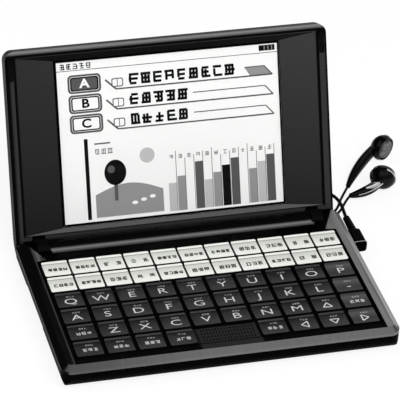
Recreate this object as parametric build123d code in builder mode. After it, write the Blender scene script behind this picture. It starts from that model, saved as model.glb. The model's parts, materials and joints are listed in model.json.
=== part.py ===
"""Pocket electronic dictionary with a hinged lid, and the earphones plugged into it.

Millimetres. X runs to the user's right, Y towards the hinge, Z up. The origin is the middle of the
underside. The lid stands open, and its parts are drawn on planes that turn with it about the hinge:
on those planes x is across, v is the distance from the hinge axis towards the lid's free edge, and
n is the height above the axis on the display side.
"""

import os
from math import cos, pi, radians, sin, sqrt, tan

from build123d import *

# ---------------------------------------------------------------- base
base_width = 112.8
base_depth = 70.9
case_height = 6.6
frame_height = 2.5
corner_radius = 3.5
hull_radius = 5.2
case_wall = 1.5
floor_thickness = 1.2
fit_gap = 0.05
panel_gap = 0.1
cut_over = 2.0

bevel_width = 1.5
bevel_drop = 2.0
side_strip = 4.5
front_strip = 1.9
frame_skirt = 1.4
cheek_depth = 13.4
cheek_step_depth = 0.7
cheek_inset = 8.0
cheek_rear_inset = 1.7
deck_thickness = 1.5
deck_lip_thickness = 0.4
deck_rear_gap = 8.05
web_thickness = 0.65
field_border = 0.35

# ---------------------------------------------------------------- keys
columns = 10
rows = 6
key_side_border = 5.3
key_rear_border = 14.45
key_front_border = 4.25
silver_rows = 2
silver_columns = 11
silver_gap = 0.6
silver_front_gap = 0.9
silver_stand = 0.3
silver_taper = 0.06
dark_gap = 0.87
dark_front_gap = 0.95
dark_stand = 0.2
dark_taper = 0.35
key_corner = 0.5
key_dish = 0.25
key_ledge = 1.15
key_ledge_rise = 0.04
key_travel = 0.6
flange_lip = 0.2
flange_thickness = 0.5
key_clearance = 0.12

# ---------------------------------------------------------------- speaker and its grille
grille_columns = 2
grille_stand = 0.65
slit_width = 0.42
slit_length = 1.25
slit_side_margin = 0.9
slit_end_margin = 0.2
slit_count = 18
slit_rows = 4
speaker_side_gap = 1.07
speaker_end_gap = 0.5
speaker_height = 2.6
speaker_edge = 0.65

# ---------------------------------------------------------------- hinge
hinge_back = 3.4
hinge_drop = 0.6
barrel_radius = 3.6
barrel_side_gap = 11.0
barrel_apron = 4.45
barrel_apron_drop = 0.9
barrel_foot_front = 1.6
knuckle_radius = 3.9
knuckle_width = 4.2
knuckle_gap = 0.3
knuckle_floor = 1.2
pin_radius = 1.5
pin_in_barrel = 7.4
pin_clearance = 0.05

# ---------------------------------------------------------------- lid
lid_angle = 113.2
lid_side_inset = 0.8
lid_front_inset = 0.4
lid_gap = 0.5
lid_thickness = 6.3
lid_corner_radius = 3.2
lid_edge_radius = 1.8
lid_wall = 1.1
rim_side = 2.7
rim_top = 2.2
heel_clearance = 4.2
heel_step = 0.5
heel_front = 1.4
heel_back = 2.4
heel_tip = 3.1
heel_tip_back = 5.6
heel_round_start = 4.5
middle_edge = 3.2
lid_hook_room = 1.7
bezel_drop = 0.25
funnel_depth = 0.75
bezel_thickness = 1.7
bezel_rim = 0.2
wing_width = 16.4
view_bottom = 5.8
top_band = 4.5
band_bottom = 1.6
glass_thickness = 0.8
lcd_border = 1.5
lcd_back_gap = 0.15
driver_side_gap = 4.4
driver_bottom = 13.5
driver_height = 22.5
driver_thickness = 0.8
bumper_width = 1.7
bumper_length = 7.2
bumper_sink = 0.5
bumper_stand = 0.4
bumper_from_top = 2.7
bumper_from_side = 0.9
hook_bottom = 1.5
hook_top = 3.2
hook_clear = 0.1
tongue_reach = 12.0
tongue_height = 2.2
lid_screw_side = 7.4
lid_screw_low = 3.5
lid_screw_high = 18.5
lid_screw_radius = 0.6
lid_screw_head = 1.2
lid_screw_head_height = 0.5
lid_screw_length = 2.4
lid_boss_radius = 1.5

# ---------------------------------------------------------------- inside the base
board_front_gap = 6.0
board_back_reach = 1.0
board_thickness = 0.6
board_drop = 1.6
board_clear = 0.4
mat_thickness = 0.35
dome_radius = 2.2
dome_top_radius = 1.3
battery_depth = 23.0
battery_back = 4.0
battery_clear = 0.2
battery_card_gap = 0.58
under_board_gap = 0.2
battery_corner = 1.0
door_margin = 2.5
door_drop = 2.6
door_gap = 0.12
door_rail = 1.5
door_rail_height = 0.7
door_rail_back = 8.0
door_rail_length = 14.0
grip_width = 12.0
grip_pitch = 1.8
grip_depth = 0.35
grip_groove = 0.8
grip_count = 4
foot_radius = 3.0
foot_sink = 0.6
foot_side = 9.4
foot_front = 9.45
foot_back = 11.45
screw_radius = 0.7
screw_clear = 0.15
screw_head_radius = 1.3
screw_head_height = 0.6
screw_seat = 1.7
screw_bite = 1.6
boss_radius = 1.3
post_radius = 2.0
screw_front_side = 12.4
screw_back_side = 16.4
screw_front = 3.5
screw_back = 10.85
card_width = 25.2
card_depth = 25.8
card_height = 3.0
card_from_rear = 17.25
card_from_side = 2.4
card_mouth_width = 24.4
card_mouth_height = 2.3
usb_from_front = 19.95
usb_width = 7.6
usb_depth = 5.6
usb_height = 2.7
usb_from_side = 2.1
usb_shell = 0.35
usb_tongue = 0.6
inlet_gap = 0.1

# ---------------------------------------------------------------- earphone socket and plug
socket_y = 19.3
socket_drop = 2.8
socket_bore = 1.8
socket_length = 12.4
socket_block_width = 6.2
socket_block_height = 4.6
socket_nose_radius = 2.3
socket_nose_sink = 0.4
plug_pin_radius = 1.75
plug_pin_length = 14.0
plug_pin_tip = 1.3
plug_gap = 0.8
plug_thickness = 4.8
plug_height = 4.0
plug_nose = 2.5
plug_length = 9.3
plug_edge = 1.1
plug_end_edge = 1.0
relief_length = 8.4
relief_radius = 1.45
relief_end_radius = 1.2
relief_offset = 0.4

# ---------------------------------------------------------------- cords and earbuds
main_cord = 1.2
thin_cord = 0.9
arc_share = 0.45
main_coil_x = 22.0
main_coil_y = 70.35
main_coil_radius = 6.6
main_coil_rings = 4
main_coil_layers = 5
left_coil_x = -17.0
left_coil_y = 56.3
right_coil_x = -33.0
right_coil_y = 54.6
thin_coil_radius = 5.2
thin_coil_rings = 2
thin_coil_layers = 4
split_x = 4.5
split_y = 62.4
split_length = 9.0
split_width = 3.6
split_height = 2.4
split_corner = 1.2
split_edge = 0.6
bud_radius = 4.7
bud_back = 4.2
bud_rim = 1.5
bud_cap_radius = 3.8
bud_cap_sink = 0.5
bud_cap_crown = 0.35
bud_cap_front_radius = 3.04
stem_radius = 1.6
stem_end_radius = 0.85
stem_middle_radius = 1.8
stem_middle = 0.55
stem_bow = 1.0
stem_behind_face = 2.3
stem_in_head = 1.0
upper_bud = (85.8, 72.6, 4.8)
upper_bud_face = (0.56, -0.83, 0.0)
upper_stem_end = (67.9, 56.4, 1.3)
lower_bud = (80.0, 54.95, 4.9)
lower_bud_face = (0.45, 0.86, 0.22)
lower_stem_end = (66.8, 50.6, 1.3)

# ---------------------------------------------------------------- derived places
front = -base_depth / 2
rear = base_depth / 2
half = base_width / 2
frame_top = case_height + frame_height
hinge_y = rear - hinge_back
hinge_height = case_height - hinge_drop
barrel_apron_top = frame_top - barrel_apron_drop
board_level = case_height - board_drop
door_top = case_height - door_drop
socket_height = case_height - socket_drop
deck_under = frame_top - deck_thickness
deck_rear = rear - deck_rear_gap
web_top = deck_under + web_thickness
column_pitch = (base_width - 2 * key_side_border) / columns
row_pitch = (base_depth - key_rear_border - key_front_border) / rows
key_field_back = rear - key_rear_border
flange_top = deck_under - fit_gap
flange_bottom = flange_top - flange_thickness
board_top = board_level + board_thickness
board_front = front + board_front_gap
dome_top = flange_bottom - key_travel - fit_gap
field_half = columns * column_pitch / 2
field_front = key_field_back - rows * row_pitch
inner_x = half - side_strip
inner_front = front + front_strip
cheek_front = rear - cheek_depth
barrel_half = half - barrel_side_gap
knuckle_inner = barrel_half + knuckle_gap
knuckle_outer = knuckle_inner + knuckle_width
slot_outer = knuckle_outer + knuckle_gap
card_outer = card_from_side - half
card_inner = card_outer + card_depth
card_level = board_level - under_board_gap - card_height
card_back = rear - card_from_rear
door_half = -card_inner - battery_card_gap - door_gap
battery_half = door_half - door_margin
battery_bottom = floor_thickness + battery_clear
usb_outer = half - usb_from_side
usb_y = front + usb_from_front
usb_level = board_level - under_board_gap - usb_height
door_back = battery_back + door_margin
silver_width = 2 * field_half / silver_columns - silver_gap
silver_depth = row_pitch - silver_front_gap
dark_width = column_pitch - dark_gap
dark_depth = row_pitch - dark_front_gap
first_grille_column = (columns - grille_columns) // 2
grille_half = grille_columns * column_pitch / 2
grille_back = key_field_back - (rows - 1) * row_pitch
pad_half = grille_half - field_border
pad_depth = dark_depth - field_border
slit_pitch = 2 * (pad_half - slit_side_margin) / slit_count
slit_row_pitch = (pad_depth - 2 * slit_end_margin) / slit_rows
speaker_width = 2 * (grille_half - speaker_side_gap)
speaker_depth = pad_depth - 2 * speaker_end_gap
board_half_width = field_half - silver_gap / 2
board_back = key_field_back + board_back_reach
socket_block_half = socket_block_width / 2 + board_clear
screw_places = [
    (x * side, y)
    for x, y in ((half - screw_front_side, front + screw_front), (half - screw_back_side, rear - screw_back))
    for side in (-1, 1)
]
foot_places = [
    (x, y) for y in (front + foot_front, rear - foot_back) for x in (foot_side - half, half - foot_side)
]

opening = radians(lid_angle)
along_v = (0, -cos(opening), sin(opening))
along_n = (0, -sin(opening), -cos(opening))
lid_half = half - lid_side_inset
lid_reach = base_depth - hinge_back - lid_front_inset
lid_face = hinge_height - frame_top - lid_gap
lid_back = lid_face - lid_thickness
pocket_floor = lid_back + lid_wall
pocket_half = lid_half - rim_side
pocket_top = lid_reach - rim_top
pocket_bottom = view_bottom - band_bottom
view_top = lid_reach - top_band
view_half_width = lid_half - wing_width
bezel_face = lid_face - bezel_drop
view_face = bezel_face - funnel_depth
bezel_back = bezel_face - bezel_thickness
lcd_face = bezel_back - fit_gap
lcd_back = pocket_floor + lcd_back_gap + lid_screw_head_height + driver_thickness + fit_gap
driver_face = lcd_back - fit_gap
driver_back = driver_face - driver_thickness
hook_floor = pocket_floor + hook_clear
driver_half_width = pocket_half - driver_side_gap
driver_top = driver_bottom + driver_height
lid_screw_x = pocket_half - lid_screw_side

plug_inner = half + plug_gap
plug_front = socket_y - plug_nose
plug_back = plug_front + plug_length
relief_x = plug_inner + plug_thickness / 2 + relief_offset
relief_end = plug_back + relief_length

os.makedirs("parts", exist_ok=True)


def lid_plane(n):
    """Plane parallel to the lid's display side, at height n."""
    middle = (0, hinge_y + along_n[1] * n, hinge_height + along_n[2] * n)
    return Plane(origin=middle, x_dir=(1, 0, 0), z_dir=along_n)


def lid_section(x):
    """Plane across the lid: its local x runs along v, and its local y along n."""
    return Plane(origin=(x, hinge_y, hinge_height), x_dir=along_v, z_dir=(1, 0, 0))


def section(x):
    """Plane across the base: its local x runs along Y, and its local y along Z."""
    return Plane(origin=(x, 0, 0), x_dir=(0, 1, 0), z_dir=(1, 0, 0))


def save(piece, name):
    """Label a finished piece and write it to its own file."""
    piece.part.label = name
    export_step(piece.part, f"parts/{name}.step")


def block(x_from, x_to, y_from, y_to, bottom, top, corner=0.0):
    """Upright block between two corners of its footprint."""
    with BuildPart() as solid:
        with BuildSketch(Plane.XY.offset(bottom)):
            with Locations(((x_from + x_to) / 2, (y_from + y_to) / 2)):
                if corner > 0:
                    RectangleRounded(x_to - x_from, y_to - y_from, corner)
                else:
                    Rectangle(x_to - x_from, y_to - y_from)
        extrude(amount=top - bottom)
    return solid.part


def lid_block(x_from, x_to, v_from, v_to, n_from, n_to, corner=0.0):
    """Block between two corners of its footprint on the lid's planes."""
    with BuildPart() as solid:
        with BuildSketch(lid_plane(n_from)):
            with Locations(((x_from + x_to) / 2, (v_from + v_to) / 2)):
                if corner > 0:
                    RectangleRounded(x_to - x_from, v_to - v_from, corner)
                else:
                    Rectangle(x_to - x_from, v_to - v_from)
        extrude(amount=n_to - n_from)
    return solid.part


def rod(y, z, radius, x_from, x_to):
    """Round bar along X."""
    with BuildPart() as bar:
        with BuildSketch(section(x_from)):
            with Locations((y, z)):
                Circle(radius)
        extrude(amount=x_to - x_from)
    return bar.part


def posts(places, radius, bottom, top):
    """Upright round posts at the given places."""
    with BuildPart() as group:
        with BuildSketch(Plane.XY.offset(bottom)):
            with Locations(places):
                Circle(radius)
        extrude(amount=top - bottom)
    return group.part


def tub(inset, bottom, top):
    """Block that follows the bottom case's outline at an inset, with its lower edges rounded."""
    width = base_width - 2 * inset
    depth = base_depth - 2 * inset
    with BuildPart() as solid:
        with BuildSketch(Plane.XY.offset(bottom)):
            RectangleRounded(width, depth, corner_radius - inset)
        extrude(amount=top - bottom)
        for plane, span in ((Plane.XZ, width), (section(0), depth)):
            with BuildSketch(plane) as profile:
                with Locations((0, (bottom + top) / 2)):
                    Rectangle(span, top - bottom)
                fillet(profile.vertices().group_by(Axis.Y)[0], hull_radius - inset)
            extrude(amount=base_width, both=True, mode=Mode.INTERSECT)
    return solid.part


def mirrored(piece):
    """The piece and its mirror image across the middle of the product."""
    return [piece, piece.mirror(Plane.YZ)]


# ================================================================ keys
def key_size(row):
    return (silver_width, silver_depth) if row < silver_rows else (dark_width, dark_depth)


def row_columns(row):
    """The silver rows have smaller keys, and more of them."""
    return silver_columns if row < silver_rows else columns


def key_centre(column, row):
    """Keys stand against the back of their cell and in the middle of its width."""
    x = 2 * field_half * (column + 0.5) / row_columns(row) - field_half
    return (x, key_field_back - row * row_pitch - key_size(row)[1] / 2)


def key_body(row):
    """A row's key at the origin: a flange under the deck, a shaft, and a tapered cap with a dished face."""
    width, depth = key_size(row)
    stand = silver_stand if row < silver_rows else dark_stand
    taper = silver_taper if row < silver_rows else dark_taper
    top = frame_top + stand
    ledge = depth / 2 - key_ledge
    tip = -depth / 2 - cut_over
    with BuildPart() as key:
        with BuildSketch(Plane.XY.offset(flange_bottom)):
            Rectangle(width + 2 * flange_lip, depth + 2 * flange_lip)
        extrude(amount=flange_thickness)
        with BuildSketch(Plane.XY.offset(flange_top)):
            RectangleRounded(width, depth, key_corner)
        extrude(amount=web_top - flange_top)
        with BuildSketch(Plane.XY.offset(web_top)):
            RectangleRounded(width, depth, key_corner)
        with BuildSketch(Plane.XY.offset(top)):
            RectangleRounded(width - 2 * taper, depth - taper, key_corner)
        loft()
        with BuildSketch(section(-width)):
            with BuildLine():
                Polyline(
                    (ledge, top + cut_over),
                    (ledge, top),
                    (ledge - key_dish, top - key_dish),
                    (tip, top - key_ledge_rise),
                    (tip, top + cut_over),
                    close=True,
                )
            make_face()
        extrude(amount=2 * width, mode=Mode.SUBTRACT)
    return key.part


def has_key(column, row):
    """The front row leaves its middle columns to the speaker grille."""
    in_grille = first_grille_column <= column < first_grille_column + grille_columns
    return row < rows - 1 or not in_grille


cells = [(column, row) for row in range(rows) for column in range(row_columns(row)) if has_key(column, row)]

# Four rows are one node each, of separate keys. The two front rows are a node for every key.
row_nodes = range(rows - 2)
silver_key = key_body(0)
dark_key = key_body(silver_rows)
for row in row_nodes:
    with BuildPart() as key_row:
        with Locations([key_centre(column, row) for column in range(row_columns(row))]):
            add(silver_key if row < silver_rows else dark_key)
    save(key_row, f"key_row_{row + 1}")
for column, row in cells:
    if row not in row_nodes:
        with BuildPart() as single_key:
            with Locations(key_centre(column, row)):
                add(dark_key)
        save(single_key, f"key_{row + 1}_{column + 1:02d}")

# ================================================================ base: case and door
hull = tub(0, 0, case_height)
cavity = tub(case_wall, floor_thickness, case_height + cut_over)
hinge_bed = rod(hinge_y, hinge_height, barrel_radius + fit_gap, -slot_outer, slot_outer)
with BuildPart() as screw_posts:
    add(hull)
    add(posts(screw_places, post_radius, 0, board_level), mode=Mode.INTERSECT)
usb_half = usb_width / 2 + inlet_gap
card_middle = card_back - card_width / 2
card_half = card_width / 2 + inlet_gap
door_opening = block(
    -door_half - door_gap,
    door_half + door_gap,
    front - cut_over,
    door_back + door_gap,
    -cut_over,
    door_top + door_gap,
)

with BuildPart() as bottom_case:
    add(hull)
    add(cavity, mode=Mode.SUBTRACT)
    add(screw_posts.part)
    add(door_opening, mode=Mode.SUBTRACT)
    add(hinge_bed, mode=Mode.SUBTRACT)
    slot = block(barrel_half, slot_outer, deck_rear, rear + cut_over, knuckle_floor, case_height + cut_over)
    add(mirrored(slot), mode=Mode.SUBTRACT)
    add(
        rod(socket_y, socket_height, socket_nose_radius + fit_gap, half - hull_radius, half + cut_over),
        mode=Mode.SUBTRACT,
    )
    add(
        block(
            usb_outer - usb_depth,
            half + cut_over,
            usb_y - usb_half,
            usb_y + usb_half,
            usb_level - inlet_gap,
            usb_level + usb_height + inlet_gap,
        ),
        mode=Mode.SUBTRACT,
    )
    add(
        block(
            -half - cut_over,
            card_inner,
            card_middle - card_half,
            card_middle + card_half,
            card_level - inlet_gap,
            card_level + card_height + inlet_gap,
        ),
        mode=Mode.SUBTRACT,
    )
    add(posts(foot_places, foot_radius + fit_gap, -cut_over, foot_sink), mode=Mode.SUBTRACT)
    add(posts(screw_places, screw_head_radius + screw_clear, -cut_over, screw_seat), mode=Mode.SUBTRACT)
    add(posts(screw_places, screw_radius + screw_clear, 0, board_level + cut_over), mode=Mode.SUBTRACT)
save(bottom_case, "bottom_case")

with BuildPart() as battery_door:
    add(hull)
    add(cavity, mode=Mode.SUBTRACT)
    add(block(-door_half, door_half, front - cut_over, door_back, -cut_over, door_top), mode=Mode.INTERSECT)
    rail_outer = door_half + door_rail
    rail_front = -door_rail_back - door_rail_length
    rail_top = floor_thickness + fit_gap + door_rail_height
    rail = block(
        door_half - door_rail, rail_outer, rail_front, -door_rail_back, floor_thickness + fit_gap, rail_top
    )
    rail_foot = block(
        door_half - door_rail, door_half, rail_front, -door_rail_back, floor_thickness / 2, rail_top
    )
    add(mirrored(rail))
    add(mirrored(rail_foot))
    with BuildSketch():
        with Locations((0, front + hull_radius + grip_count * grip_pitch / 2)):
            with GridLocations(grip_width, grip_pitch, 1, grip_count):
                Rectangle(grip_width, grip_groove)
    extrude(amount=grip_depth, mode=Mode.SUBTRACT)
save(battery_door, "battery_door")

with BuildPart() as rubber_feet:
    add(posts(foot_places, foot_radius, 0, foot_sink))
save(rubber_feet, "rubber_feet")

with BuildPart() as case_screws:
    add(posts(screw_places, screw_head_radius, screw_seat - screw_head_height, screw_seat))
    add(posts(screw_places, screw_radius, screw_seat, board_level + screw_bite))
save(case_screws, "case_screws")


# ================================================================ base: frame and deck
def deck_outline(gap):
    """Opening of the metal frame in plan, or what fills it at a gap, open towards the hinge."""
    side = inner_x - gap
    neck = half - cheek_inset - gap
    tail = half - cheek_rear_inset - gap
    with BuildSketch() as outline:
        with BuildLine():
            Polyline(
                (-side, inner_front + gap),
                (side, inner_front + gap),
                (side, cheek_front - gap),
                (neck, cheek_front + cheek_step_depth - gap),
                (tail, rear),
                (tail, rear + cut_over),
                (-tail, rear + cut_over),
                (-tail, rear),
                (-neck, cheek_front + cheek_step_depth - gap),
                (-side, cheek_front - gap),
                close=True,
            )
        make_face()
    return outline.sketch


with BuildPart() as top_frame:
    with BuildSketch(Plane.XY.offset(case_height)):
        RectangleRounded(base_width, base_depth, corner_radius)
    extrude(amount=frame_top - case_height)
    top_edges = top_frame.faces().sort_by(Axis.Z)[-1].edges()
    chamfer(top_edges, bevel_drop, bevel_width, reference=top_frame.faces().sort_by(Axis.Z)[-1])
    with BuildSketch(Plane.XY.offset(case_height)):
        RectangleRounded(
            base_width - 2 * frame_skirt, base_depth - 2 * frame_skirt, corner_radius - frame_skirt
        )
    extrude(amount=deck_thickness, mode=Mode.SUBTRACT)
    with BuildSketch(Plane.XY.offset(case_height)):
        add(deck_outline(0))
    extrude(amount=frame_top, mode=Mode.SUBTRACT)
    slot = block(barrel_half, slot_outer, deck_rear, rear + cut_over, case_height, frame_top + cut_over)
    add(mirrored(slot), mode=Mode.SUBTRACT)
    add(hinge_bed, mode=Mode.SUBTRACT)
save(top_frame, "top_frame")


with BuildPart() as key_deck:
    with BuildSketch(Plane.XY.offset(deck_under)):
        add(deck_outline(panel_gap))
    extrude(amount=deck_thickness)
    lip_gap = frame_skirt + panel_gap
    with BuildSketch(Plane.XY.offset(deck_under)):
        RectangleRounded(base_width - 2 * lip_gap, base_depth - 2 * lip_gap, corner_radius - lip_gap)
    extrude(amount=deck_lip_thickness)
    rear_cut = block(-slot_outer, slot_outer, deck_rear, rear + cut_over, deck_under, frame_top + cut_over)
    add(rear_cut, mode=Mode.SUBTRACT)
    bevel_cut = block(-half, half, rear - bevel_width, rear + cut_over, deck_under, frame_top + cut_over)
    add(bevel_cut, mode=Mode.SUBTRACT)
    field = block(
        -field_half - field_border,
        field_half + field_border,
        field_front,
        key_field_back + field_border,
        web_top,
        frame_top + cut_over,
    )
    add(field, mode=Mode.SUBTRACT)
    with BuildSketch(Plane.XY.offset(deck_under)):
        for column, row in cells:
            width, depth = key_size(row)
            with Locations(key_centre(column, row)):
                RectangleRounded(width + 2 * key_clearance, depth + 2 * key_clearance, key_corner)
    extrude(amount=deck_thickness, mode=Mode.SUBTRACT)
    pad = block(
        -pad_half,
        pad_half,
        grille_back - dark_depth,
        grille_back - field_border,
        deck_under,
        web_top + grille_stand,
    )
    add(pad)
    with BuildSketch(Plane.XY.offset(deck_under)):
        with Locations((0, grille_back - dark_depth / 2 - field_border / 2)):
            with GridLocations(slit_pitch, slit_row_pitch, slit_count, slit_rows):
                SlotOverall(slit_length, slit_width, rotation=90)
    extrude(amount=deck_thickness, mode=Mode.SUBTRACT)
    add(posts(screw_places, boss_radius, board_level + fit_gap, deck_under))
    add(posts(screw_places, screw_radius, board_level, board_level + screw_bite), mode=Mode.SUBTRACT)
save(key_deck, "key_deck")

with BuildPart() as speaker:
    speaker_y = grille_back - dark_depth / 2 - field_border / 2
    speaker_top = deck_under - fit_gap
    with BuildSketch(Plane.XY.offset(speaker_top - speaker_height)):
        with Locations((0, speaker_y)):
            RectangleRounded(speaker_width, speaker_depth, speaker_depth / 2 - fit_gap)
    extrude(amount=speaker_height)
    fillet(speaker.edges().group_by(Axis.Z)[0], speaker_edge)
save(speaker, "speaker")

# ================================================================ base: board, mat, battery, sockets
socket_inner = half - socket_nose_sink - socket_length
board_notches = [
    block(
        socket_inner - board_clear,
        half,
        socket_y - socket_block_half,
        socket_y + socket_block_half,
        board_level,
        dome_top + cut_over,
    ),
    block(
        -speaker_width / 2 - board_clear,
        speaker_width / 2 + board_clear,
        front,
        speaker_y + speaker_depth / 2 + board_clear,
        board_level,
        dome_top + cut_over,
    ),
]

with BuildPart() as main_board:
    add(block(-board_half_width, board_half_width, board_front, board_back, board_level, board_top))
    add(board_notches, mode=Mode.SUBTRACT)
save(main_board, "main_board")


def over_notch(column, row):
    """True where the board is cut away under a key."""
    x, y = key_centre(column, row)
    notch_start = socket_inner - board_clear - dome_radius
    return x > notch_start and abs(y - socket_y) < socket_block_half + dome_radius


with BuildPart() as dome_mat:
    mat_sheet_top = board_top + mat_thickness
    add(block(-board_half_width, board_half_width, board_front, board_back, board_top, mat_sheet_top))
    add(board_notches, mode=Mode.SUBTRACT)
    for column, row in cells:
        if not over_notch(column, row):
            x, y = key_centre(column, row)
            with BuildSketch(Plane.XY.offset(mat_sheet_top)):
                with Locations((x, y)):
                    Circle(dome_radius)
            with BuildSketch(Plane.XY.offset(dome_top)):
                with Locations((x, y)):
                    Circle(dome_top_radius)
            loft()
save(dome_mat, "dome_mat")

with BuildPart() as battery_pack:
    battery_top = board_level - under_board_gap
    add(
        block(
            -battery_half,
            battery_half,
            battery_back - battery_depth,
            battery_back,
            battery_bottom,
            battery_top,
            battery_corner,
        )
    )
    fillet(battery_pack.edges().group_by(Axis.Z)[0], battery_corner / 2)
save(battery_pack, "battery_pack")

with BuildPart() as card_socket:
    card_top = card_level + card_height
    card_y_from = card_back - card_width
    add(block(card_outer, card_inner, card_y_from, card_back, card_level, card_top))
    mouth = block(
        card_outer - cut_over,
        card_inner - card_mouth_height,
        card_middle - card_mouth_width / 2,
        card_middle + card_mouth_width / 2,
        card_level + (card_height - card_mouth_height) / 2,
        card_top - (card_height - card_mouth_height) / 2,
    )
    add(mouth, mode=Mode.SUBTRACT)
save(card_socket, "card_socket")

with BuildPart() as usb_socket:
    usb_top = usb_level + usb_height
    usb_inner = usb_outer - usb_depth
    add(block(usb_inner, usb_outer, usb_y - usb_width / 2, usb_y + usb_width / 2, usb_level, usb_top))
    mouth = block(
        usb_inner + usb_shell,
        usb_outer + cut_over,
        usb_y - usb_width / 2 + usb_shell,
        usb_y + usb_width / 2 - usb_shell,
        usb_level + usb_shell,
        usb_top - usb_shell,
    )
    add(mouth, mode=Mode.SUBTRACT)
    tongue = block(
        usb_inner,
        usb_outer - usb_tongue,
        usb_y - usb_width / 2 + 3 * usb_shell,
        usb_y + usb_width / 2 - 3 * usb_shell,
        usb_level + (usb_height - usb_tongue) / 2,
        usb_level + (usb_height + usb_tongue) / 2,
    )
    add(tongue)
save(usb_socket, "usb_socket")

with BuildPart() as earphone_jack:
    block_bottom = socket_height - socket_block_height / 2
    add(
        block(
            socket_inner,
            half - hull_radius,
            socket_y - socket_block_width / 2,
            socket_y + socket_block_width / 2,
            block_bottom,
            block_bottom + socket_block_height,
        )
    )
    add(rod(socket_y, socket_height, socket_nose_radius, socket_inner, half - socket_nose_sink))
    add(
        rod(socket_y, socket_height, socket_bore, socket_inner - cut_over, half + cut_over),
        mode=Mode.SUBTRACT,
    )
save(earphone_jack, "earphone_jack")

# ================================================================ hinge
with BuildPart() as hinge_barrel:
    add(rod(hinge_y, hinge_height, barrel_radius, -barrel_half, barrel_half))
    foot = block(
        -barrel_half,
        barrel_half,
        hinge_y - barrel_apron,
        hinge_y - barrel_foot_front,
        floor_thickness + fit_gap,
        barrel_apron_top,
    )
    add(foot)
    add(
        rod(hinge_y, hinge_height, pin_radius, barrel_half - pin_in_barrel, barrel_half + cut_over),
        mode=Mode.SUBTRACT,
    )
    add(
        rod(hinge_y, hinge_height, pin_radius, -barrel_half - cut_over, pin_in_barrel - barrel_half),
        mode=Mode.SUBTRACT,
    )
save(hinge_barrel, "hinge_barrel")

with BuildPart() as hinge_pins:
    pin = rod(hinge_y, hinge_height, pin_radius, barrel_half - pin_in_barrel, knuckle_outer)
    add(mirrored(pin))
save(hinge_pins, "hinge_pins")

with BuildPart() as hinge_knuckles:
    knuckle = rod(hinge_y, hinge_height, knuckle_radius, knuckle_inner, knuckle_outer)
    web = lid_block(knuckle_inner, knuckle_outer, -hook_bottom, hook_top, hook_floor, -pin_radius - fit_gap)
    tongue = lid_block(
        knuckle_inner, knuckle_outer, 0, tongue_reach, hook_floor, hook_floor + tongue_height
    )
    bore = rod(hinge_y, hinge_height, pin_radius + pin_clearance, barrel_half, slot_outer)
    for piece in (knuckle, web, tongue):
        add(mirrored(piece))
    add(mirrored(bore), mode=Mode.SUBTRACT)
save(hinge_knuckles, "hinge_knuckles")

# ================================================================ lid
v_axis = Axis((0, hinge_y, hinge_height), along_v)
n_axis = Axis((0, hinge_y, hinge_height), along_n)
bumper_outer = lid_half - bumper_from_side
bumper_top = lid_reach - bumper_from_top
bumper_place = (bumper_outer - bumper_width, bumper_outer, bumper_top - bumper_length, bumper_top)
bumper_corner = bumper_width / 3

with BuildPart() as lid_cover:
    with BuildSketch(lid_section(-lid_half)):
        with BuildLine():
            heel_start = (heel_round_start, lid_back)
            heel_end = (-heel_tip, -heel_tip_back)
            Polyline((lid_reach, lid_face), (lid_reach, lid_back), heel_start)
            TangentArc(heel_start, heel_end, tangent=(-1, 0))
            Polyline(
                heel_end,
                (-heel_back, -heel_clearance),
                (heel_front, -heel_clearance),
                (heel_front + heel_step, lid_face),
                (lid_reach, lid_face),
            )
        make_face()
    extrude(amount=2 * lid_half)
    corners = lid_cover.edges().filter_by(Axis((0, 0, 0), along_n)).group_by(v_axis)[-1]
    fillet(corners, lid_corner_radius)
    back_edges = lid_cover.edges().group_by(n_axis)[0].group_by(v_axis)[1:]
    fillet([edge for group in back_edges for edge in group], lid_edge_radius)
    add(
        lid_block(
            -pocket_half, pocket_half, pocket_bottom, pocket_top, pocket_floor, lid_face + cut_over, fit_gap
        ),
        mode=Mode.SUBTRACT,
    )
    add(
        lid_block(-slot_outer, slot_outer, 0, middle_edge, -heel_clearance, lid_face + cut_over),
        mode=Mode.SUBTRACT,
    )
    hook_slot = lid_block(
        knuckle_inner - hook_clear,
        knuckle_outer + hook_clear,
        -lid_hook_room,
        pocket_bottom + cut_over,
        pocket_floor,
        lid_face + cut_over,
    )
    add(mirrored(hook_slot), mode=Mode.SUBTRACT)
    bumper_seat = lid_block(*bumper_place, lid_face - bumper_sink, lid_face + cut_over, bumper_corner)
    add(mirrored(bumper_seat), mode=Mode.SUBTRACT)
save(lid_cover, "lid_cover")

with BuildPart() as lid_bumpers:
    bumper = lid_block(*bumper_place, lid_face - bumper_sink, lid_face + bumper_stand, bumper_corner)
    add(mirrored(bumper))
save(lid_bumpers, "lid_bumpers")

view_middle = (view_bottom + view_top) / 2
bezel_half = pocket_half - panel_gap
bezel_bottom = pocket_bottom + panel_gap
bezel_top = pocket_top - panel_gap
lid_screw_places = (driver_bottom + lid_screw_low, driver_bottom + lid_screw_high)
screw_bosses = [(side * lid_screw_x, v) for side in (-1, 1) for v in lid_screw_places]


def lid_posts(radius, n_from, n_to):
    """Round posts at the driver board's screws."""
    with BuildPart() as group:
        with BuildSketch(lid_plane(n_from)):
            with Locations(screw_bosses):
                Circle(radius)
        extrude(amount=n_to - n_from)
    return group.part


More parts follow.
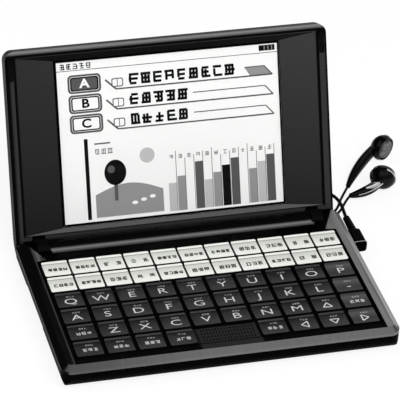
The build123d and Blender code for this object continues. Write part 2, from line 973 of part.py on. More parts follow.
with BuildPart() as lid_bezel:
    add(lid_block(-bezel_half, bezel_half, bezel_bottom, bezel_top, bezel_back, bezel_face))
    with BuildSketch(lid_plane(bezel_face)):
        with Locations((0, (bezel_bottom + bezel_top) / 2)):
            Rectangle(2 * (bezel_half - bezel_rim), bezel_top - bezel_bottom - 2 * bezel_rim)
    with BuildSketch(lid_plane(view_face)):
        with Locations((0, view_middle)):
            Rectangle(2 * view_half_width, view_top - view_bottom)
    loft(mode=Mode.SUBTRACT)
    add(
        lid_block(
            -view_half_width,
            view_half_width,
            view_bottom,
            view_top,
            bezel_back - cut_over,
            bezel_face + cut_over,
        ),
        mode=Mode.SUBTRACT,
    )
    add(lid_posts(lid_boss_radius, driver_face, bezel_back))
    add(lid_posts(lid_screw_radius, driver_face, driver_back + lid_screw_length), mode=Mode.SUBTRACT)
save(lid_bezel, "lid_bezel")

with BuildPart() as screen_window:
    add(
        lid_block(
            -view_half_width + panel_gap,
            view_half_width - panel_gap,
            view_bottom + panel_gap,
            view_top - panel_gap,
            view_face - glass_thickness,
            view_face,
        )
    )
save(screen_window, "screen_window")

with BuildPart() as lcd_panel:
    add(
        lid_block(
            -view_half_width - lcd_border,
            view_half_width + lcd_border,
            view_bottom - lcd_border,
            view_top + lcd_border,
            lcd_back,
            lcd_face,
        )
    )
save(lcd_panel, "lcd_panel")

with BuildPart() as lcd_board:
    add(lid_block(-driver_half_width, driver_half_width, driver_bottom, driver_top, driver_back, driver_face))
    add(lid_posts(lid_screw_radius, driver_back, driver_face), mode=Mode.SUBTRACT)
save(lcd_board, "lcd_board")

with BuildPart() as lid_screws:
    add(lid_posts(lid_screw_head, driver_back - lid_screw_head_height, driver_back))
    add(lid_posts(lid_screw_radius, driver_back, driver_back + lid_screw_length - fit_gap))
save(lid_screws, "lid_screws")

# ================================================================ earphones: plug
plug_bottom = socket_height - plug_height / 2
with BuildPart() as plug_body:
    add(
        block(
            plug_inner,
            plug_inner + plug_thickness,
            plug_front,
            plug_back,
            plug_bottom,
            plug_bottom + plug_height,
        )
    )
    fillet(plug_body.edges().filter_by(Axis.Y), plug_edge)
    fillet(plug_body.edges().group_by(Axis.Y)[0] + plug_body.edges().group_by(Axis.Y)[-1], plug_end_edge)
save(plug_body, "plug_body")

with BuildPart() as plug_pin:
    tip = plug_inner - plug_pin_length
    tip_radius = plug_pin_radius / 3
    with BuildSketch(Plane.XY.offset(socket_height)):
        with BuildLine():
            Polyline(
                (plug_inner, socket_y),
                (plug_inner, socket_y + plug_pin_radius),
                (tip + plug_pin_tip, socket_y + plug_pin_radius),
                (tip, socket_y + tip_radius),
                (tip, socket_y),
                close=True,
            )
        make_face()
    revolve(axis=Axis((0, socket_y, socket_height), (1, 0, 0)))
save(plug_pin, "plug_pin")

with BuildPart() as plug_relief:
    relief_plane = Plane(origin=(relief_x, plug_back, socket_height), x_dir=(1, 0, 0), z_dir=(0, 1, 0))
    with BuildSketch(relief_plane):
        Circle(relief_radius)
    with BuildSketch(relief_plane.offset(relief_length)):
        Circle(relief_end_radius)
    loft()
save(plug_relief, "plug_relief")


# ================================================================ earphones: cords
def turn_radii(points, name):
    """As large an arc at every corner as its two runs allow; prints them with the length."""
    runs = [Vector(b) - Vector(a) for a, b in zip(points, points[1:])]
    radii = []
    for before, after in zip(runs, runs[1:]):
        turn = radians(before.get_angle(after))
        radii.append(arc_share * min(before.length, after.length) / tan(turn / 2))
    print(name, "radii", [round(radius, 1) for radius in radii])
    return radii


def cord_tube(points, diameter, name):
    """Round cord along straight runs joined by tangent arcs."""
    with BuildPart() as tube:
        with BuildLine() as path:
            route = FilletPolyline(*points, radius=turn_radii(points, name))
        with BuildSketch(Plane(origin=route @ 0, z_dir=route % 0)):
            Circle(diameter / 2)
        sweep()
    length = route.length
    share = tube.part.volume / (length * pi * (diameter / 2) ** 2)
    print(name, "length", round(length, 1), "volume share", round(share, 4))
    return tube.part


def coil(x, y, radius, diameter, rings, layers):
    """Closed outer shape of a neat coil that lies on the floor."""
    with BuildPart() as hank:
        with BuildSketch():
            with Locations((x, y)):
                Circle(radius + rings * diameter / 2)
                Circle(radius - rings * diameter / 2, mode=Mode.SUBTRACT)
        extrude(amount=layers * diameter)
    return hank.part


def reach(radius, rings, diameter):
    """How far a coil's solid reaches along the tangent at the middle of its turns."""
    outer = radius + rings * diameter / 2
    return sqrt(outer**2 - radius**2)


main_reach = reach(main_coil_radius, main_coil_rings, main_cord)
thin_reach = reach(thin_coil_radius, thin_coil_rings, thin_cord)
main_front = main_coil_y - main_coil_radius
lying_main = main_cord / 2
lying_thin = thin_cord / 2
cord_start = (relief_x, relief_end, socket_height)
main_route = [
    cord_start,
    (relief_x + 0.5, 38.8, 3.7),
    (relief_x + 1.0, 43.0, 3.4),
    (relief_x + 1.1, 47.4, 2.8),
    (relief_x + 0.3, 51.8, 1.9),
    (relief_x - 2.0, 56.2, 1.1),
    (54.4, 59.6, 0.8),
    (49.0, 61.4, lying_main),
    (42.0, 62.9, lying_main),
    (35.0, main_front - 0.2, lying_main),
    (main_coil_x + main_reach, main_front, lying_main),
]
tail_route = [
    (main_coil_x - main_reach, main_front, lying_main),
    (11.5, 63.3, lying_main),
    (7.8, 62.6, 1.0),
    (split_x, split_y, split_height / 2),
]
left_route = [
    (split_x - split_length, split_y - 0.9, lying_thin),
    (-7.6, 61.2, lying_thin),
    (-10.8, 61.35, lying_thin),
    (left_coil_x + thin_reach, left_coil_y + thin_coil_radius, lying_thin),
]
left_return = [
    (left_coil_x + thin_reach, left_coil_y - thin_coil_radius, lying_thin),
    (-8.0, 50.8, lying_thin),
    (1.5, 49.6, lying_thin),
    (14.0, 49.2, lying_thin),
    (28.0, 47.6, lying_thin),
    (40.0, 46.4, lying_thin),
    (49.0, 44.4, lying_thin),
    (55.2, 42.9, lying_thin),
    (58.9, 43.4, lying_thin),
    (61.0, 46.0, lying_thin),
    (62.5, 48.8, lying_thin),
    (64.3, 51.6, 0.6),
    (66.2, 54.2, 0.9),
    upper_stem_end,
]
right_route = [
    (split_x - split_length, split_y + 0.9, lying_thin),
    (-10.5, 64.3, lying_thin),
    (-17.5, 64.3, lying_thin),
    (-23.5, 61.9, lying_thin),
    (-27.0, 60.2, lying_thin),
    (right_coil_x + thin_reach, right_coil_y + thin_coil_radius, lying_thin),
]
right_return = [
    (right_coil_x + thin_reach, right_coil_y - thin_coil_radius, lying_thin),
    (-23.0, 48.4, lying_thin),
    (-12.0, 46.8, lying_thin),
    (3.0, 46.2, lying_thin),
    (19.0, 45.8, lying_thin),
    (34.0, 44.7, lying_thin),
    (46.0, 42.8, lying_thin),
    (54.2, 41.3, lying_thin),
    (59.2, 41.7, lying_thin),
    (61.8, 44.4, lying_thin),
    (63.6, 47.2, lying_thin),
    (65.3, 49.3, 0.8),
    lower_stem_end,
]

with BuildPart() as cord_main:
    add(cord_tube(main_route, main_cord, "main"))
    add(cord_tube(tail_route, main_cord, "tail"))
save(cord_main, "cord_main")

with BuildPart() as cord_main_coil:
    add(coil(main_coil_x, main_coil_y, main_coil_radius, main_cord, main_coil_rings, main_coil_layers))
save(cord_main_coil, "cord_main_coil")

with BuildPart() as cord_left:
    add(cord_tube(left_route, thin_cord, "left, to its coil"))
    add(cord_tube(left_return, thin_cord, "left"))
save(cord_left, "cord_left")

with BuildPart() as cord_left_coil:
    add(coil(left_coil_x, left_coil_y, thin_coil_radius, thin_cord, thin_coil_rings, thin_coil_layers))
save(cord_left_coil, "cord_left_coil")

with BuildPart() as cord_right:
    add(cord_tube(right_route, thin_cord, "right, to its coil"))
    add(cord_tube(right_return, thin_cord, "right"))
save(cord_right, "cord_right")

with BuildPart() as cord_right_coil:
    add(coil(right_coil_x, right_coil_y, thin_coil_radius, thin_cord, thin_coil_rings, thin_coil_layers))
save(cord_right_coil, "cord_right_coil")

with BuildPart() as y_split:
    add(
        block(
            split_x - split_length,
            split_x,
            split_y - split_width / 2,
            split_y + split_width / 2,
            0,
            split_height,
            split_corner,
        )
    )
    fillet(y_split.edges().group_by(Axis.Z)[-1], split_edge)
save(y_split, "y_split")


# ================================================================ earphones: earbuds
def earbud(head, face, stem_end):
    """Domed driver housing with a rim and a recess for its mesh, and a bowed stem down to the cord."""
    sideways = Vector(face).cross(Vector(0, 0, 1)).normalized()
    profile_plane = Plane(origin=head, x_dir=sideways, z_dir=sideways.cross(Vector(face)))
    stem_top = Vector(head) - Vector(face).normalized() * stem_behind_face
    stem_axis = stem_top - Vector(stem_end)
    stem_plane = Plane(origin=stem_end, z_dir=stem_axis)
    along = stem_axis.normalized()
    behind = (along * along.dot(Vector(face)) - Vector(face)).normalized()
    middle = Vector(stem_end) + stem_axis * stem_middle + behind * stem_bow
    middle_plane = Plane(origin=middle, z_dir=stem_axis)
    with BuildPart() as bud:
        with BuildSketch(profile_plane):
            with BuildLine():
                Line((0, 0), (0, -bud_back))
                ThreePointArc(
                    (0, -bud_back), (bud_radius * sin(pi / 4), -bud_back * cos(pi / 4)), (bud_radius, 0)
                )
                Polyline(
                    (bud_radius, 0),
                    (bud_radius - bud_cap_sink, bud_rim),
                    (bud_cap_radius, bud_rim),
                    (bud_cap_radius, bud_rim - bud_cap_sink),
                    (0, bud_rim - bud_cap_sink),
                    (0, 0),
                )
            make_face()
        revolve(axis=Axis(head, face))
        with BuildSketch(stem_plane):
            Circle(stem_end_radius)
        with BuildSketch(middle_plane):
            Circle(stem_middle_radius)
        with BuildSketch(stem_plane.offset(stem_axis.length - stem_in_head)):
            Circle(stem_radius)
        loft()
    return bud.part


def grille_cap(head, face):
    """Crowned mesh disc in the front of an earbud."""
    seat = Plane(origin=Vector(head) + Vector(face).normalized() * (bud_rim - bud_cap_sink), z_dir=face)
    with BuildPart() as cap:
        with BuildSketch(seat):
            Circle(bud_cap_radius)
        with BuildSketch(seat.offset(bud_cap_sink + bud_cap_crown)):
            Circle(bud_cap_front_radius)
        loft()
    return cap.part


with BuildPart() as earbud_left:
    add(earbud(upper_bud, upper_bud_face, upper_stem_end))
save(earbud_left, "earbud_left")

with BuildPart() as earbud_right:
    add(earbud(lower_bud, lower_bud_face, lower_stem_end))
save(earbud_right, "earbud_right")

with BuildPart() as earbud_grilles:
    add(grille_cap(upper_bud, upper_bud_face))
    add(grille_cap(lower_bud, lower_bud_face))
save(earbud_grilles, "earbud_grilles")
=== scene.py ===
# %% [markdown]
# # A pocket electronic dictionary with earphones
# The solids of the case, keys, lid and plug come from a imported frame, already at their real size. This
# lesson gives them their finishes and adds what only shows on the surface: key legends, the picture on
# the display, the run of the cords and the metal trim of the earbuds. All lengths are in metres, and
# `mm` turns the maker's millimetres into them.

# %% Load the frame
import json
import math
import random
import bmesh
import bpy
from mathutils import Matrix, Vector

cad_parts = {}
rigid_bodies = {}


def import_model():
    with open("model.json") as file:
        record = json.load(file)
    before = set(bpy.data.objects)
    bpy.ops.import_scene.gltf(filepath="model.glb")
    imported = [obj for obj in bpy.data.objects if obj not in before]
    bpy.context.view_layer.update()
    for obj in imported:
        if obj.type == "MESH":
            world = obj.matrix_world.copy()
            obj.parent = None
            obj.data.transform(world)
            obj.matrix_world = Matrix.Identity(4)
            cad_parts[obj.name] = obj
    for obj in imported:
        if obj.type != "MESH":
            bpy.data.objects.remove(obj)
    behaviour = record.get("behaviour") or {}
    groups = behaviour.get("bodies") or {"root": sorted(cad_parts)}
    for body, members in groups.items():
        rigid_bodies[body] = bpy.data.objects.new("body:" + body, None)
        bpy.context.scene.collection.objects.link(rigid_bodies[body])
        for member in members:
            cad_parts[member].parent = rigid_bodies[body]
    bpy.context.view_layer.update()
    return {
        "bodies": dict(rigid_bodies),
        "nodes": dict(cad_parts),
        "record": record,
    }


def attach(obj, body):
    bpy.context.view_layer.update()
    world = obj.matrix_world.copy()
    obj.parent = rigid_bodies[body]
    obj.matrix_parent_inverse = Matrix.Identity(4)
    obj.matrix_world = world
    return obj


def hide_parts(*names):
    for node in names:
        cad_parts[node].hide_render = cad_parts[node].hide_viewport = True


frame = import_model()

mm = 0.001
nodes = frame["nodes"]

# %% [markdown]
# ## The camera
# A camera can be set by hand until it looks right, or worked out from the photograph. Here it was worked
# out: it stands at the front left, 0.57 metres up and 0.93 metres from its aim, with a long lens, and it is
# rolled by about four degrees. Its three axes are built from those angles, so each is easy to change.

# %% Camera
aim = Vector((-3.64, 2.05, 41.68)) * mm
azimuth = math.radians(-17.75)
elevation = math.radians(34.65)
roll = math.radians(4.19)
distance = 0.92712
lens_per_width = 7.2001
sensor = 36.0

away = Vector(
    (
        math.sin(azimuth) * math.cos(elevation),
        -math.cos(azimuth) * math.cos(elevation),
        math.sin(elevation),
    )
)
level_right = Vector((math.cos(azimuth), math.sin(azimuth), 0))
level_up = away.cross(level_right)
right = level_right * math.cos(roll) + level_up * math.sin(roll)
up = away.cross(right)

camera_data = bpy.data.cameras.new("camera")
camera_data.lens = lens_per_width * sensor
camera_data.sensor_width = sensor
camera_data.shift_x = 0.0011
camera_data.clip_end = 20
camera = bpy.data.objects.new("camera", camera_data)
bpy.context.scene.collection.objects.link(camera)
axes = Matrix((right, up, away)).transposed()
camera.matrix_world = Matrix.Translation(aim + away * distance) @ axes.to_4x4()
bpy.context.scene.camera = camera
print("camera at", [round(v, 4) for v in camera.matrix_world.translation])

# %% [markdown]
# ## The cords
# The earphones hang on one round cord from the plug to a small split, and on two thinner ones from the
# split to the earbuds. Only a few centimetres of them show beside the hinge. Most of the rest is wound into
# neat coils behind the lid. A cord is a NURBS curve: the route's points pull the line smoothly, and a bevel
# gives it its thickness. The turns of a coil are more points of the same curve, so nothing is joined.

# %% Cord sizes and routes
main_cord = 1.2 * mm
thin_cord = 0.9 * mm
main_coil = Vector((22.0, 70.35, 0)) * mm
main_coil_radius = 6.6 * mm
left_coil = Vector((-17.0, 56.3, 0)) * mm
right_coil = Vector((-33.0, 54.6, 0)) * mm
thin_coil_radius = 5.2 * mm
turn_points = 14

plug_to_coil = [
    (60.0, 34.5, 3.8),
    (60.5, 38.8, 3.7),
    (61.0, 43.0, 3.4),
    (61.1, 47.4, 2.8),
    (60.3, 51.8, 1.9),
    (58.0, 56.2, 1.1),
    (54.4, 59.6, 0.8),
    (49.0, 61.4, 0.6),
    (42.0, 62.9, 0.6),
    (35.0, 63.55, 0.6),
    (28.6, 63.75, 0.6),
]
coil_to_split = [
    (16.0, 61.95, 4.9),
    (12.0, 62.1, 2.9),
    (8.2, 62.35, 1.5),
    (4.5, 62.4, 1.2),
]
split_to_left_coil = [(-4.5, 61.5, 0.45), (-7.6, 61.2, 0.45), (-10.8, 61.35, 0.45), (-13.8, 61.5, 0.45)]
left_coil_to_bud = [
    (-12.2, 50.9, 2.2),
    (-8.0, 50.8, 0.7),
    (1.5, 49.6, 0.45),
    (14.0, 49.2, 0.45),
    (28.0, 47.6, 0.45),
    (40.0, 46.4, 0.45),
    (49.0, 44.4, 0.45),
    (55.2, 42.9, 0.45),
    (58.9, 43.4, 0.45),
    (61.0, 46.0, 0.45),
    (62.5, 48.8, 0.45),
    (64.3, 51.6, 0.6),
    (66.2, 54.2, 0.9),
    (67.9, 56.4, 1.3),
]
split_to_right_coil = [
    (-4.5, 63.3, 0.45),
    (-10.5, 64.3, 0.45),
    (-17.5, 64.3, 0.45),
    (-23.5, 61.9, 0.45),
    (-27.0, 60.2, 0.45),
    (-29.8, 59.8, 0.45),
]
right_coil_to_bud = [
    (-28.0, 49.2, 2.2),
    (-23.0, 48.4, 0.7),
    (-12.0, 46.8, 0.45),
    (3.0, 46.2, 0.45),
    (19.0, 45.8, 0.45),
    (34.0, 44.7, 0.45),
    (46.0, 42.8, 0.45),
    (54.2, 41.3, 0.45),
    (59.2, 41.7, 0.45),
    (61.8, 44.4, 0.45),
    (63.6, 47.2, 0.45),
    (65.3, 49.3, 0.8),
    (66.8, 50.6, 1.3),
]


def in_metres(points):
    return [Vector(point) * mm for point in points]


# %% [markdown]
# A coil is wound in layers. Each turn lies one diameter beside the one before it, from the inner ring to
# the outer one and back, and the next layer lies on top. `side` is where on the circle the cord comes in,
# in degrees, and `sense` is +1 for a coil that turns anticlockwise.

# %% Coil turns
def coil_turns(centre, radius, diameter, rings, turns, side, sense):
    """Points of a neat coil that lies on the floor."""
    count = round(turns * turn_points)
    points = []
    for step in range(1, count):
        turn = step / turn_points
        layer = int(turn / rings)
        across = turn - layer * rings
        ring = min(across, rings - 1)
        if layer % 2:
            ring = rings - 1 - ring
        rise = max(0.0, across - (rings - 1))
        reach = radius + (ring - (rings - 1) / 2) * diameter
        angle = math.radians(side) + sense * 2 * math.pi * turn
        height = (layer + 0.5 + rise) * diameter
        points.append(centre + Vector((math.cos(angle) * reach, math.sin(angle) * reach, height)))
    return points


def round_line(name, points, radii):
    """Round solid along one NURBS spline, with a radius at each point."""
    data = bpy.data.curves.new(name, "CURVE")
    data.dimensions = "3D"
    spline = data.splines.new("NURBS")
    spline.points.add(len(points) - 1)
    for knot, point, radius in zip(spline.points, points, radii):
        knot.co = (*point, 1)
        knot.radius = radius
    spline.order_u = 3
    spline.use_endpoint_u = True
    data.resolution_u = 6
    data.bevel_depth = 1.0
    data.bevel_resolution = 4
    data.use_fill_caps = True
    piece = bpy.data.objects.new(name, data)
    bpy.context.scene.collection.objects.link(piece)
    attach(piece, "earphones")
    return piece


def cord(name, points, diameter):
    """Round cord of one thickness."""
    piece = round_line(name, points, [diameter / 2] * len(points))
    print(name, "is", round(piece.data.splines[0].calc_length(), 3), "m long")
    return piece


main_wind = coil_turns(main_coil, main_coil_radius, main_cord, 4, 19, -90, -1)
left_wind = coil_turns(left_coil, thin_coil_radius, thin_cord, 2, 6.5, 90, 1)
right_wind = coil_turns(right_coil, thin_coil_radius, thin_cord, 2, 5.5, 90, 1)
main_lead = cord(
    "main_lead", in_metres(plug_to_coil) + main_wind + in_metres(coil_to_split), main_cord
)
left_lead = cord(
    "left_lead", in_metres(split_to_left_coil) + left_wind + in_metres(left_coil_to_bud), thin_cord
)
right_lead = cord(
    "right_lead", in_metres(split_to_right_coil) + right_wind + in_metres(right_coil_to_bud), thin_cord
)
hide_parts("cord_main", "cord_main_coil")
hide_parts("cord_left", "cord_left_coil")
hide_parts("cord_right", "cord_right_coil")

# %% [markdown]
# ## Finishes
# A finish is a small graph of shader nodes. Wiring one by hand hides the sums in it, so two classes help:
# `Wire` is one socket that can be added, multiplied and compared like a number, and `Finish` is a material
# with one method for any node. Colours go through Mix nodes, because a Math node would turn them grey.

# %% Wire and Finish
X, Y, Z = range(3)
LEFT, FRONT, REAR, UP = (-1, 0, 0), (0, -1, 0), (0, 1, 0), (0, 0, 1)


class Wire:
    """An output socket that takes part in sums."""

    def __init__(self, finish, socket):
        self.finish = finish
        self.socket = socket

    def sum(self, operation, first, second):
        return self.finish.sum(operation, first, second)

    def __add__(self, other):
        return self.sum("ADD", self, other)

    def __sub__(self, other):
        return self.sum("SUBTRACT", self, other)

    def __rsub__(self, other):
        return self.sum("SUBTRACT", other, self)

    def __mul__(self, other):
        return self.sum("MULTIPLY", self, other)

    def __gt__(self, other):
        return self.sum("GREATER_THAN", self, other)

    def __lt__(self, other):
        return self.sum("LESS_THAN", self, other)

    __radd__ = __add__


class Finish:
    """A material that is built node by node."""

    def __init__(self, name, **constants):
        self.name = name
        self.material = bpy.data.materials.new(name)
        self.material.use_nodes = True
        self.tree = self.material.node_tree
        self.shader = self.tree.nodes["Principled BSDF"]
        for socket, value in constants.items():
            self.set(socket.replace("_", " "), value)

    def plug(self, socket, value):
        if isinstance(value, Wire):
            self.tree.links.new(value.socket, socket)
        else:
            socket.default_value = value

    def set(self, socket, value):
        if isinstance(value, tuple) and len(value) == 3 and "Color" in socket:
            value = (*value, 1)
        self.plug(self.shader.inputs[socket], value)

    def node(self, kind, settings=None, sockets=None, out=0):
        new = self.tree.nodes.new(kind)
        for key, value in (settings or {}).items():
            if key == "stops":
                ramp = new.color_ramp
                while len(ramp.elements) < len(value):
                    ramp.elements.new(0.5)
                for element, (place, shade) in zip(ramp.elements, value):
                    element.position = place
                    element.color = (*shade, 1)
            else:
                setattr(new, key, value)
        for key, value in (sockets or {}).items():
            self.plug(new.inputs[key], value)
        return Wire(self, new.outputs[out])

    def sum(self, operation, first, second=0.0):
        """Any Math node."""
        return self.node("ShaderNodeMath", {"operation": operation}, {0: first, 1: second})

    def place(self, stretch=(1, 1, 1), turn=(0, 0, 0)):
        """Where a point is on the object, turned and stretched along its axes."""
        spot = self.node("ShaderNodeTexCoord", out=3)
        return self.node("ShaderNodeMapping", sockets={0: spot, 2: turn, 3: stretch})

    def noise(self, scale, detail=3.0, stretch=(1, 1, 1), turn=(0, 0, 0)):
        return self.node(
            "ShaderNodeTexNoise",
            sockets={"Vector": self.place(stretch, turn), "Scale": scale, "Detail": detail},
        )

    def mix(self, share, first, second):
        """Colour between two others."""
        first = (*first, 1) if isinstance(first, tuple) else first
        second = (*second, 1) if isinstance(second, tuple) else second
        return self.node(
            "ShaderNodeMix", {"data_type": "RGBA"}, {0: share, 6: first, 7: second}, out=2
        )

    def spread(self, value, low, high, start=0.0, end=1.0):
        """Value stretched from a range to another, and held at its ends."""
        return self.node(
            "ShaderNodeMapRange", sockets={0: value, 1: low, 2: high, 3: start, 4: end}
        )

    def dot(self, first, second):
        return self.node("ShaderNodeVectorMath", {"operation": "DOT_PRODUCT"}, {0: first, 1: second}, out=1)

    def facing(self, direction):
        """How squarely the surface faces a direction of its own piece: 1 is straight on."""
        normal = self.node("ShaderNodeTexCoord", out=1)
        return self.dot(normal, direction)

    def along(self, axis):
        """Where a point is along X, Y or Z."""
        spot = self.node("ShaderNodeTexCoord", out=3)
        return self.node("ShaderNodeSeparateXYZ", sockets={0: spot}, out=axis)

    def within(self, axis, low, high, fade):
        """1 between two places along an axis, falling to 0 over the fade beyond them."""
        place = self.along(axis)
        return self.spread(place, low - fade, low) * self.spread(place, high + fade, high)

    def grid(self, width, height, joint, first, second, between, shift):
        """Bricks in two shades of grey with a joint between them; shift moves every other row."""
        return self.node(
            "ShaderNodeTexBrick",
            {"offset": shift},
            {
                "Vector": self.place(),
                "Scale": 1.0,
                "Color1": (first, first, first, 1),
                "Color2": (second, second, second, 1),
                "Mortar": (between, between, between, 1),
                "Mortar Size": joint,
                "Brick Width": width,
                "Row Height": height,
            },
        )

    def toward(self, direction):
        """How far a point is along a direction."""
        spot = self.node("ShaderNodeTexCoord", out=3)
        return self.dot(spot, direction)

    def relief(self, height, depth, strength=1.0):
        """Small bumps; depth is in metres."""
        self.set(
            "Normal",
            self.node("ShaderNodeBump", sockets={"Height": height, "Distance": depth, "Strength": strength}),
        )


finishes = {}


def keep(finish):
    """Stores a finish under its name."""
    finishes[finish.name] = finish.material
    return finish


# %% [markdown]
# ### Moulded plastics
# Moulded plastic is never one flat colour. Its gloss varies a little where hands touch it, and its surface
# has a fine grain or a faint orange peel. One function makes the plain plastics: a colour with a slow drift,
# a roughness with a faster one, and a grain in the normal.

# %% Plastics
def plastic(name, color, rough, grain, depth, drift=0.15, specular=0.5):
    finish = keep(Finish(name, Specular_IOR_Level=specular))
    slow = finish.noise(55.0, 2.0)
    fine = finish.noise(grain, 4.0)
    darker = tuple(value * (1 - drift) for value in color)
    lighter = tuple(min(1.0, value * (1 + drift)) for value in color)
    finish.set("Base Color", finish.mix(slow, darker, lighter))
    finish.set("Roughness", finish.spread(fine * 0.6 + slow * 0.4, 0.3, 0.7, rough * 0.85, rough * 1.15))
    finish.relief(fine, depth)
    return finish


plastic("case_plastic", (0.0006, 0.0006, 0.0007), 0.36, 2600, 0.00001, specular=0.01)
plastic("plug_plastic", (0.0007, 0.0007, 0.0008), 0.36, 2400, 0.00001, specular=0.012)
plastic("earbud_plastic", (0.0014, 0.0014, 0.0016), 0.16, 900, 0.000003, specular=0.14)
plastic("jack_plastic", (0.006, 0.006, 0.006), 0.4, 2400, 0.00002, specular=0.1)
plastic("battery_wrap", (0.12, 0.13, 0.15), 0.35, 700, 0.00003)
print(len(finishes), "plastics")

# %% [markdown]
# ### The key deck
# The deck between the keys is black. Two places on it are painted paler than the plastic is, to match the
# light in the photograph: the pad over the speaker, and the rear edge beside the hinge barrel, where the
# barrel's pale line goes on. Painted light stays where it is when the lamps move, so a scene with other
# lamps is better off without it.

# %% Key deck
deck_black = (0.0006, 0.0006, 0.0007)
pad_half = 10.1 * mm
pad_back = -22.6 * mm
barrel_half = 45.4 * mm
deck_rear = 27.4 * mm

deck = plastic("deck_plastic", deck_black, 0.2, 900, 0.000004, specular=0.012)
pad = deck.within(X, -pad_half, pad_half, 0.4 * mm)
pad = pad * deck.spread(deck.along(Y), pad_back + 0.4 * mm, pad_back)
by_barrel = deck.within(X, -barrel_half, barrel_half, 0.2 * mm)
by_barrel = by_barrel * deck.spread(deck.along(Y), deck_rear - 1.6 * mm, deck_rear)
shade = deck.mix(pad, deck_black, (0.014, 0.014, 0.0145))
deck.set("Base Color", deck.mix(by_barrel, shade, (0.11, 0.11, 0.112)))

# %% [markdown]
# ### The lid's inner face
# The panel round the display is one black moulding, but it shows three tones: the two wings beside the
# display carry a painted light that grows towards the top, the slope under the top rim is deep black, and the
# slope along the hinge carries a paler painted light. The direction that each face looks in tells them apart.
# The cover's rim has a painted highlight, a pale line at the free edge, and a painted sheen on a grey strip
# down each side. These tones are painted light, and turn with the lid.

# %% Bezel and lid
hinge = Vector((0, 32.05, 6.0)) * mm
lid_angle = math.radians(113.2)
along_v = Vector((0, -math.cos(lid_angle), math.sin(lid_angle)))
along_n = Vector((0, -math.sin(lid_angle), -math.cos(lid_angle)))
wing_edge = 51.7 * mm

bezel = keep(Finish("bezel_plastic", Specular_IOR_Level=0.1))
upward = bezel.facing(along_v)
# Painted light on the wings, growing towards the top and towards the right.
wing_light = bezel.spread(bezel.along(Z), 12 * mm, 62 * mm, 0.011, 0.024)
wing_light = wing_light * bezel.spread(bezel.along(X), -50 * mm, 50 * mm, 0.85, 1.3)
wings = bezel.within(X, -wing_edge, wing_edge, 0.4 * mm) * bezel.spread(upward, -0.1, -0.03)
# Painted light on the slope along the hinge.
lower_slope = bezel.spread(upward, 0.05, 0.14)
level = wing_light * wings + lower_slope * 0.05
bezel.set("Base Color", bezel.mix(level, (0, 0, 0), (1, 1, 1.03)))
bezel.set("Roughness", bezel.spread(bezel.noise(55, 2.0), 0.3, 0.7, 0.24, 0.32))
bezel.relief(bezel.noise(900, 4.0), 0.000003)

shell = keep(Finish("lid_shell", Specular_IOR_Level=0.025))
flakes = shell.noise(3200, 2.0)
# Painted sheen on a grey strip down each side of the rim, and a painted highlight along its free edge;
# elsewhere the shell is near black.
rim = shell.spread(shell.facing(along_n), 0.97, 0.995)
from_hinge = shell.toward(along_v) - hinge.dot(along_v)
edge_highlight = rim * shell.spread(from_hinge, 65.6 * mm, 66.5 * mm)
side_sheen = shell.spread(shell.along(X), -54.5 * mm, -53.5 * mm)
side_sheen = side_sheen * shell.spread(shell.along(X), 55.1 * mm, 54.6 * mm)
side_sheen = rim * side_sheen * shell.spread(from_hinge, 63.2 * mm, 62.2 * mm)
flaked_sheen = shell.mix(flakes, (0.034, 0.034, 0.036), (0.044, 0.044, 0.047))
shade = shell.mix(side_sheen, (0.0014, 0.0014, 0.0016), flaked_sheen)
shell.set("Base Color", shell.mix(edge_highlight, shade, (0.15, 0.15, 0.153)))
shell.set("Metallic", side_sheen * 0.5)
shell.set("Roughness", shell.spread(shell.noise(24, 2.0), 0.3, 0.7, 0.34, 0.42))
shell.relief(flakes, 0.000003)
print("lid is painted")

# %% [markdown]
# ### Keys
# The two back rows are a pale silver, and the four others near black. Each cap has a ledge at its back edge
# and a shallow dish in front of it. A painted shade, set by the point's place within a row of keys, which a
# modulo gives, darkens the dish beside the ledge, and the walls are black. The last column of the dark keys
# carries a painted light that makes it paler.

# %% Key finishes
row_pitch = 8.7 * mm
field_back = 21.0 * mm
last_column = 41.0 * mm
key_wall_black = (0.0015, 0.0015, 0.0015)


def key_finish(name, shade, low, high, last_column_light, rough, specular):
    """Key paint; a painted shade lies in the dish just in front of each key's ledge, a painted light makes
    the last column paler, and the walls are black.
    """
    finish = keep(Finish(name, Specular_IOR_Level=specular))
    in_cell = finish.sum("MODULO", (field_back - finish.along(Y)) * (1 / row_pitch) + 10, 1.0)
    grain = finish.noise(2800, 3.0)
    slow = finish.noise(30, 2.0)
    # Painted shade: darker in the dish just in front of the ledge.
    lit = finish.spread(in_cell, 0.16, 0.75)
    on_ledge = in_cell < 0.135
    paint = finish.mix(lit, shade, finish.mix(finish.spread(slow, 0.3, 0.7), low, high))
    # Painted light: the last column is paler, most of all near the ledge.
    end_key = finish.spread(finish.along(X), last_column - 0.2 * mm, last_column + 0.2 * mm)
    paint = finish.mix(end_key * last_column_light * finish.spread(in_cell, 0.6, 0.13), paint, (0.16, 0.16, 0.16))
    top = finish.mix(on_ledge, paint, high)
    on_top = finish.spread(finish.facing(UP), 0.55, 0.8)
    finish.set("Base Color", finish.mix(on_top, key_wall_black, top))
    finish.set("Roughness", finish.spread(grain, 0.25, 0.75, rough - 0.06, rough + 0.06))
    finish.relief(grain, 0.00001)


key_finish("silver_key", (0.46, 0.47, 0.44), (0.66, 0.67, 0.63), (0.66, 0.67, 0.63), 0.0, 0.4, 0.15)
key_finish("dark_key", (0.005, 0.005, 0.0055), (0.019, 0.019, 0.02), (0.028, 0.028, 0.029), 0.4, 0.3, 0.1)

# %% [markdown]
# ### Metals
# Brushed metal is scratched in one direction. Noise that is squeezed across the strokes and drawn out along
# them gives that, in the colour, the roughness and the normal together.

